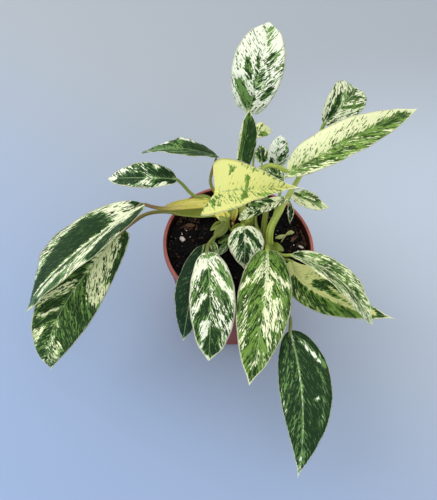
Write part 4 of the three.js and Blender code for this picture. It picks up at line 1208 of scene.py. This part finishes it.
def pot_material(settings):
    """Satin terracotta-coloured plastic, cloudy; scuffed pale with a painted highlight along the rim, and
    stained dark by peat with painted shade inside the wall
    """
    paint = Paint("nursery_plastic")
    place = paint.place()
    cloud, grain = paint.noise(place, 0.03, 3.0), paint.noise(place, 0.0007)
    scratch = paint.noise(place, (0.004, 0.004, 0.0006))
    height = paint.field(paint.axis("Z"), (scratch, 0.006))
    inside = paint.field(paint.value("inside"), (scratch, 0.5))
    return paint.finish(
        Base_Color=paint.layers(
            settings.clay,
            (0.75 * settings.clay, cloud, 0.3, 0.7),
            # Painted highlight: a band at the top of the rim is painted lighter, partly as wear and partly
            # as the light on the rolled rim
            (settings.scuff_and_highlight, height, POT_H - 0.0025, POT_H - 0.0002, 0.65),
            # Painted shade: the inner wall below the rim is painted near black, partly as peat stain and
            # partly as the shade inside the pot
            (settings.peat_stain_and_shade, inside, 0.3, 0.6, 0.93),
        ),
        Roughness=paint.field(0.42, (cloud, 0.3), (scratch, 0.2)),
        Normal=paint.bump(grain, 0.00008, 0.5),
    )


def peat_material(settings):
    """Moist peat: near black, with drier brown grains and a few wet glints"""
    paint = Paint("moist_peat")
    place = paint.place()
    grains = paint.noise(place, 0.0016, 4.0, 0.65)
    dry = paint.field(paint.value("dry"), (grains, 1.6), (paint.noise(place, 0.012), 0.8))
    return paint.finish(
        Base_Color=paint.layers(settings.peat, (settings.peat_light, dry, 0.55, 1.05)),
        Roughness=paint.field(0.8, (grains, 0.7)),
        Normal=paint.bump(grains, 0.0006, 0.8),
        Specular_IOR_Level=0.12,
    )


def grit_material(name, base, size, contrast):
    """Rough grit: one colour clouded darker in its pores"""
    paint = Paint(name)
    pores = paint.noise(paint.place(), size, 4.0, 0.6)
    return paint.finish(
        Base_Color=paint.layers(contrast * base, (base, pores, 0.35, 0.65)),
        Roughness=paint.field(0.85, (pores, 0.3)),
        Normal=paint.bump(pores, size / 3, 0.8),
    )


def seedling_material(settings):
    """Soft pale green, darker in clouds"""
    paint = Paint("seedling_skin")
    cloud = paint.noise(paint.place(), 0.002)
    return paint.finish(
        Base_Color=paint.layers(0.6 * settings.seedling, (settings.seedling, cloud, 0.3, 0.7)),
        Roughness=paint.field(0.5, (cloud, 0.2)),
        Subsurface_Weight=0.1, Subsurface_Scale=0.001,
    )


def floor_material(settings):
    """Pale matt floor, a little bluer in front, with a pool of light painted lighter at the right of the pot
    """
    paint = Paint("seamless_floor")
    lean = paint.maths("ADD", paint.maths("MULTIPLY", paint.axis("X"), 0.4), paint.axis("Y"))
    # Painted pool of light: the floor is painted lighter towards a spot right of the pot
    far = paint.add("VectorMath", {0: paint.place(), 1: PAINTED_GLOW_SPOT}, out="Value", operation="DISTANCE")
    skin = paint.layers(
        settings.floor, (settings.floor_deep, lean, 0.3, -0.25), (settings.floor_painted_glow, far, 0.36, 0.02))
    return paint.finish(Base_Color=skin, Roughness=0.75)


def ico_points():
    """The 12 corners of the icosahedron: three crossed golden rectangles"""
    golden = (1 + 5 ** 0.5) / 2
    signs = [(s, t) for s in (-1, 1) for t in (-1, 1)]
    return unit(np.array([(s, t * golden, 0) for s, t in signs] + [(0, s, t * golden) for s, t in signs]
                         + [(s * golden, 0, t) for s, t in signs]))


def ico_faces(corners):
    """The 20 triangles of the icosahedron: every three corners that all lie next to each other"""
    near = np.linalg.norm(corners[:, None] - corners[None], axis=-1) < 1.1
    faces = np.array([(a, b, c) for a in range(12) for b in range(a) for c in range(b)
                      if near[a, b] and near[b, c] and near[a, c]])
    a, b, c = corners[faces.T]
    inward = np.sum(np.cross(b - a, c - a) * (a + b + c), axis=1) < 0
    faces[inward] = faces[inward][:, ::-1]
    return faces


def turns(rng, count):
    """Random rotations, from four normal draws each taken as a unit quaternion"""
    w, x, y, z = unit(rng.normal(size=(count, 4))).T
    return np.stack([
        1 - 2 * (y * y + z * z), 2 * (x * y - z * w), 2 * (x * z + y * w),
        2 * (x * y + z * w), 1 - 2 * (x * x + z * z), 2 * (y * z - x * w),
        2 * (x * z - y * w), 2 * (y * z + x * w), 1 - 2 * (x * x + y * y),
    ], axis=-1).reshape(-1, 3, 3)


def crumbs(rng, places, sizes, jitter, dry):
    """Many small lumps: icosahedra with their corners drawn in or out at random, squashed and turned"""
    count, corners = len(places), ico_points()
    bulge = 1 + jitter * (rng.random((count, len(corners), 1)) - 0.5)
    points = corners * bulge * sizes[:, None]
    points = np.einsum("nij,nkj->nki", turns(rng, count), points) + places[:, None]
    faces = ico_faces(corners) + len(corners) * np.arange(count)[:, None, None]
    return Surface(points, [], faces, {"dry": np.repeat(dry, len(corners))})


def lump(at, size, turn, seed):
    """A lump of grit: a ball whose radius swings with three crossing sines, squashed and turned"""
    rows, sides, even = 14, 22, 0.93
    a, b = np.linspace(0, np.pi, rows + 1)[1:-1, None], around(sides)
    x, y, z = np.broadcast_arrays(np.sin(a) * np.cos(b), np.sin(a) * np.sin(b), -np.cos(a))
    swing = np.sin(4 * x + seed) * np.sin(5 * y + 2 * seed) + 0.6 * np.sin(9 * z + 7 * x + seed)
    ball = np.stack([x, y, z], axis=-1) * (even + 0.09 * swing)[..., None]
    points, quads, tris = capped(ball, [(0, 0, -even), (0, 0, even)])
    c, s = math.cos(turn), math.sin(turn)
    return Surface(points * size @ np.array([(c, s, 0), (-s, c, 0), (0, 0, 1)]) + at, quads, tris)


def scattered(rng, count, centre, reach):
    """Places on the mix, thrown round a centre and kept inside the pot"""
    angle, far = rng.random(count) * 2 * np.pi, np.sqrt(rng.random(count)) * reach
    x, y = centre[0] + far * np.cos(angle), centre[1] + far * np.sin(angle)
    limit = (pot_radius(SOIL_Z) - WALL - CRUMB_ROOM) / np.maximum(np.hypot(x, y), 1e-6)
    x, y = x * np.minimum(limit, 1), y * np.minimum(limit, 1)
    return np.stack([x, y, soil_height(x, y)], axis=-1)


class PHILODENDRON_OT_stage(bpy.types.Operator):
    """Lays the pale floor, hangs the soft lamps and sets the camera"""

    bl_idname = "philodendron.stage"
    bl_label = "Stage"

    def execute(self, context):
        settings = context.scene.philodendron_stage
        mesh = bpy.data.meshes.new("floor")
        corners = [(x, y, 0) for x, y in ((-1, -1), (1, -1), (1, 1), (-1, 1))]
        mesh.from_pydata((FLOOR_REACH * np.array(corners)).tolist(), [], [(0, 1, 2, 3)])
        mesh.materials.append(floor_material(settings))
        put_in_scene("floor", mesh)
        self.lamp("key_lamp", settings.key_place, settings.key_power, KEY_SIZE)
        self.lamp("fill_lamp", settings.fill_place, settings.fill_power, FILL_SIZE)
        world = bpy.data.worlds.new("soft_sky")
        world.use_nodes = True
        sky = next(n for n in world.node_tree.nodes if n.type == "BACKGROUND")
        sky.inputs["Color"].default_value = (*settings.sky, 1)
        sky.inputs["Strength"].default_value = settings.sky_strength
        context.scene.world = world
        view = bpy.data.cameras.new("camera")
        view.lens = settings.focal_length
        view.clip_start, view.clip_end = VIEW_SPAN
        camera = put_in_scene("camera", view)
        camera.location, camera.rotation_euler = settings.camera_place, settings.camera_turn
        context.scene.camera = camera
        context.scene.view_settings.view_transform = "Standard"
        return {"FINISHED"}

    def lamp(self, name, place, power, size):
        """A square lamp that faces the pot"""
        light = bpy.data.lights.new(name, "AREA")
        light.energy, light.size = power, size
        lamp = put_in_scene(name, light)
        lamp.location = place
        aim = (POT_LOW + POT_HIGH) / 2 - lamp.location
        lamp.rotation_euler = aim.to_track_quat("-Z", "Y").to_euler()


class PHILODENDRON_OT_pot(bpy.types.Operator):
    """Turns the thin nursery pot with its rolled rim and drills its drain holes"""

    bl_idname = "philodendron.pot"
    bl_label = "Nursery Pot"

    def execute(self, context):
        settings = context.scene.philodendron_pot
        body = turned(self.profile(), settings.sides)
        far, height = np.hypot(*body.points.T[:2]), body.points[:, 2]
        # The inner wall from the floor to just below the rim, where the peat stain and painted shade go
        held = (height > FLOOR_T / 2) & (height < POT_H - CLEAN_LIP)
        body.values["inside"] = ((far < pot_radius(height) - WALL / 2) & held).astype(float)
        pot = make_piece("nursery_pot", [body], [pot_material(settings)], ["pot"])
        low, high = -DRILL_PROUD, FLOOR_T + DRILL_PROUD
        post = [(0, low), (DRAIN_R, low), (DRAIN_R, high), (0, high)]
        posts = [turned(post, DRAIN_SIDES, (DRAIN_RING * math.cos(a), DRAIN_RING * math.sin(a)))
                 for a in around(DRAIN_COUNT)]
        drill = make_piece("drain_drill", posts, [])
        cut = pot.modifiers.new("drain_holes", "BOOLEAN")
        cut.operation, cut.solver, cut.object = "DIFFERENCE", "EXACT", drill
        bpy.context.view_layer.update()
        shaped = bpy.data.meshes.new_from_object(pot.evaluated_get(bpy.context.evaluated_depsgraph_get()))
        pot.modifiers.clear()
        pot.data = shaped
        bpy.data.objects.remove(drill)
        return {"FINISHED"}

    def profile(self):
        """Radius and height from the middle of the base, up the wall, over the rim and down inside"""
        under, top = POT_H - RIM_H, POT_H
        neck, inside = pot_radius(under), pot_radius(top) - WALL
        arc = np.radians(np.linspace(0, 90, 5))
        middle = RIM_R - RIM_ROUND, top - RIM_ROUND
        return [
            (0, 0), (BASE_R - 0.002, 0), (BASE_R - 0.0009, 0.0001), (BASE_R - 0.0002, 0.0005),
            *((pot_radius(z), z) for z in np.linspace(0.001, under - 0.0006, WALL_RINGS[0])),
            (neck, under - 0.0001), (neck + 0.0002, under), (RIM_R - 0.0003, under), (RIM_R, under + 0.0003),
            *((middle[0] + RIM_ROUND * math.cos(a), middle[1] + RIM_ROUND * math.sin(a)) for a in arc),
            (inside + 0.0005, top), (inside + 0.0001, top - 0.0002),
            *((pot_radius(z) - WALL, z) for z in np.linspace(top - 0.0008, FLOOR_T + 0.0008, WALL_RINGS[1])),
            (pot_radius(FLOOR_T) - WALL - 0.0008, FLOOR_T), (0, FLOOR_T),
        ]


class PHILODENDRON_OT_mix(bpy.types.Operator):
    """Fills the pot with peat and strews crumbs, bark chips and perlite over it"""

    bl_idname = "philodendron.mix"
    bl_label = "Potting Mix"

    def execute(self, context):
        settings = context.scene.philodendron_mix
        rng = np.random.default_rng(settings.seed)
        peat = peat_material(settings)
        grit = {"bark": grit_material("bark_chips", settings.bark, 0.0009, 0.35),
                "perlite": grit_material("perlite_grit", settings.perlite, 0.0006, 0.75)}
        make_piece("peat_fill", [self.fill(settings)], [peat], ["soil"])
        bed = pot_radius(SOIL_Z) - WALL
        count = settings.crumbs
        sizes = CRUMB_SIZE[0] + CRUMB_SIZE[1] * rng.random((count, 1)) ** 2
        sizes = sizes * (CRUMB_SQUASH[0] + CRUMB_SQUASH[1] * rng.random((count, 3)))
        places = scattered(rng, count, (0, 0), bed)
        places[:, 2] += sizes.mean(1)
        bits = crumbs(rng, places, sizes, 0.7, rng.random(count))
        make_piece("peat_crumbs", [bits], [peat])
        spots = [*CHIP_SPOTS, ((0, 0), bed, BED_CHIPS)]
        places = np.vstack([
            scattered(rng, int(settings.chips * share), at, reach) for at, reach, share in spots])
        sizes = np.array(CHIP_SIZE) * (0.5 + rng.random((len(places), 3)))
        places[:, 2] += CHIP_RISE
        bits = crumbs(rng, places, sizes, 0.5, np.zeros(len(places)))
        make_piece("bark_bits", [bits], [grit["bark"]])
        places = scattered(rng, settings.specks, (0, 0), bed)
        sizes = SPECK_SIZE[0] + SPECK_SIZE[1] * rng.random((settings.specks, 1)) ** 2 * np.ones(3)
        places[:, 2] += SPECK_RISE
        bits = crumbs(rng, places, sizes, 0.5, np.zeros(len(places)))
        make_piece("perlite_specks", [bits], [grit["perlite"]])
        for n, (name, (at, size, turn, slot)) in enumerate(LUMPS.items()):
            make_piece(f"{name}_lump", [lump(mm(at), mm(size), turn, n)], [grit[slot]], [name])
        return {"FINISHED"}

    def fill(self, settings):
        """The filling: rings of points raised by swells and layers of random clods, closed below"""
        reach = pot_radius(SOIL_Z - 0.002) - WALL - SIDE_GAP
        r = reach * np.linspace(0, 1, settings.rings + 1)[1:, None]
        x, y = r * np.cos(around(settings.sides)), r * np.sin(around(settings.sides))
        clods = sum(share * lattice(x, y, cell, n) for n, (cell, share) in enumerate(CLODS, 1))
        top = np.stack([x, y, soil_height(x, y) + settings.clod * (clods - 1)], axis=-1)
        floor = FLOOR_T + FILL_GAP
        foot = (pot_radius(floor) - WALL - SIDE_GAP) / reach
        low = np.stack([x[-1] * foot, y[-1] * foot, np.full(settings.sides, floor)], axis=-1)
        dry = 0.15 + 0.25 * lattice(x, y, 0.012, 4)
        ends = [(0, 0, soil_height(0, 0)), (0, 0, floor)]
        solid = capped(np.concatenate([top, low[None]]), ends, flip=True)
        return Surface(*solid, {"dry": np.append(dry, np.zeros(settings.sides + 2))})


def stalk_tones(leaf, settings):
    """Colours of a leaf's stalk at its foot and at its blade"""
    return [np.array(getattr(settings, tone)) for tone in leaf["tones"]]


class PHILODENDRON_OT_stalks(bpy.types.Operator):
    """Grows each shoot: a short stem in the mix with the stalks of its leaves"""

    bl_idname = "philodendron.stalks"
    bl_label = "Shoots"

    def execute(self, context):
        settings = context.scene.philodendron_stalks
        skin = stalk_material()
        for name, shoot in SHOOTS.items():
            grown = [self.stem(shoot, settings)]
            grown += [stalk_surface(leaf, stalk_tones(leaf, settings), settings)
                      for leaf in LEAVES.values() if leaf["shoot"] == name]
            grown += [scale_surface(*scale, settings) for scale in shoot["scales"]]
            make_piece(f"{name}_stalks", grown, [skin], [f"shoot_{name}"])
        return {"FINISHED"}

    def stem(self, shoot, settings):
        """A stem turned from a faintly waved line, its radius falling to the top over the upper half"""
        rise = np.linspace(0, 1, STEM_RINGS)[:-1]
        z = STEM_FOOT + (STEM_TOP - STEM_FOOT) * rise
        falling = np.clip((rise - STEM_NARROWS) / (1 - STEM_NARROWS), 0, 1)
        r = mm(shoot["radius"]) * (1 - falling ** 2.2) ** 0.8 * (1 + STEM_WAVE * np.cos(STEM_WAVES * z))
        stem = turned([(0, STEM_FOOT), *zip(r, z), (0, STEM_TOP)], STEM_SIDES, mm(shoot["foot"]))
        stem.values["tone"] = np.tile(np.array(settings.olive), (len(stem.points), 1))
        stem.veins = stem.points[:, [2, 0]]
        return stem


class PHILODENDRON_OT_blades(bpy.types.Operator):
    """Lays out every leaf blade with its markings, its midrib and the top of its stalk"""

    bl_idname = "philodendron.blades"
    bl_label = "Leaf Blades"

    def execute(self, context):
        settings = context.scene.philodendron_blades
        stalks = context.scene.philodendron_stalks
        grown, young, ribs = blade_material(settings), young_material(settings), stalk_material()
        for order, (name, leaf) in enumerate(LEAVES.items()):
            tones, own = stalk_tones(leaf, stalks), leaf["shoot"] == "none"
            shapes = [blade_surface(leaf, order, settings), ridge_surface(leaf, tones, settings.pale_green)]
            if own:
                shapes.append(stalk_surface(leaf, tones, stalks, slot=1))
            node = f"leaf_{name}"
            make_piece(f"{name}_blade", shapes, [young if own else grown, ribs], [node])
        return {"FINISHED"}


class PHILODENDRON_OT_seedling(bpy.types.Operator):
    """Adds the seedling with its two seed leaves"""

    bl_idname = "philodendron.seedling"
    bl_label = "Seedling"

    def execute(self, context):
        skin = seedling_material(context.scene.philodendron_mix)
        t, given = np.linspace(0, 1, SEEDLING_RINGS), np.linspace(0, 1, 4)
        parts = []
        for points, radii, wings in SEEDLING:
            frames = Path(mm(points)).at(t, (0.1, -0.4, 1.0))
            r, w = (mm(np.interp(t, given, widths)) for widths in (radii, wings))
            parts.append(tube(frames, r, w, SEEDLING_SIDES, np.zeros((len(t), 3))))
        make_piece("seedling_plant", parts, [skin], ["seedling"])
        return {"FINISHED"}


class PHILODENDRON_PT_panel(bpy.types.Panel):
    """Lists the steps that dress the plant"""

    bl_idname = "PHILODENDRON_PT_panel"
    bl_label = "Potted Philodendron"
    bl_space_type = "VIEW_3D"
    bl_region_type = "UI"
    bl_category = "Philodendron"

    def draw(self, context):
        for operator in OPERATORS:
            self.layout.operator(operator.bl_idname)
        for name, group in SETTINGS.items():
            box = self.layout.box()
            for field in group.__annotations__:
                box.prop(getattr(context.scene, name), field)


OPERATORS = [
    PHILODENDRON_OT_stage, PHILODENDRON_OT_pot, PHILODENDRON_OT_mix, PHILODENDRON_OT_stalks,
    PHILODENDRON_OT_blades, PHILODENDRON_OT_seedling,
]


def register():
    """Registers the settings, the steps and the panel"""
    for name, group in SETTINGS.items():
        bpy.utils.register_class(group)
        setattr(bpy.types.Scene, name, bpy.props.PointerProperty(type=group))
    for cls in [*OPERATORS, PHILODENDRON_PT_panel]:
        bpy.utils.register_class(cls)


def unregister():
    """Removes what register added"""
    for cls in [PHILODENDRON_PT_panel, *reversed(OPERATORS)]:
        bpy.utils.unregister_class(cls)
    for name, group in reversed(SETTINGS.items()):
        delattr(bpy.types.Scene, name)
        bpy.utils.unregister_class(group)


def main():
    """Dresses the plant step by step"""
    register()
    bpy.ops.philodendron.stage()
    bpy.ops.philodendron.pot()
    bpy.ops.philodendron.mix()
    bpy.ops.philodendron.stalks()
    bpy.ops.philodendron.blades()
    bpy.ops.philodendron.seedling()


if __name__ == "__main__":
    main()
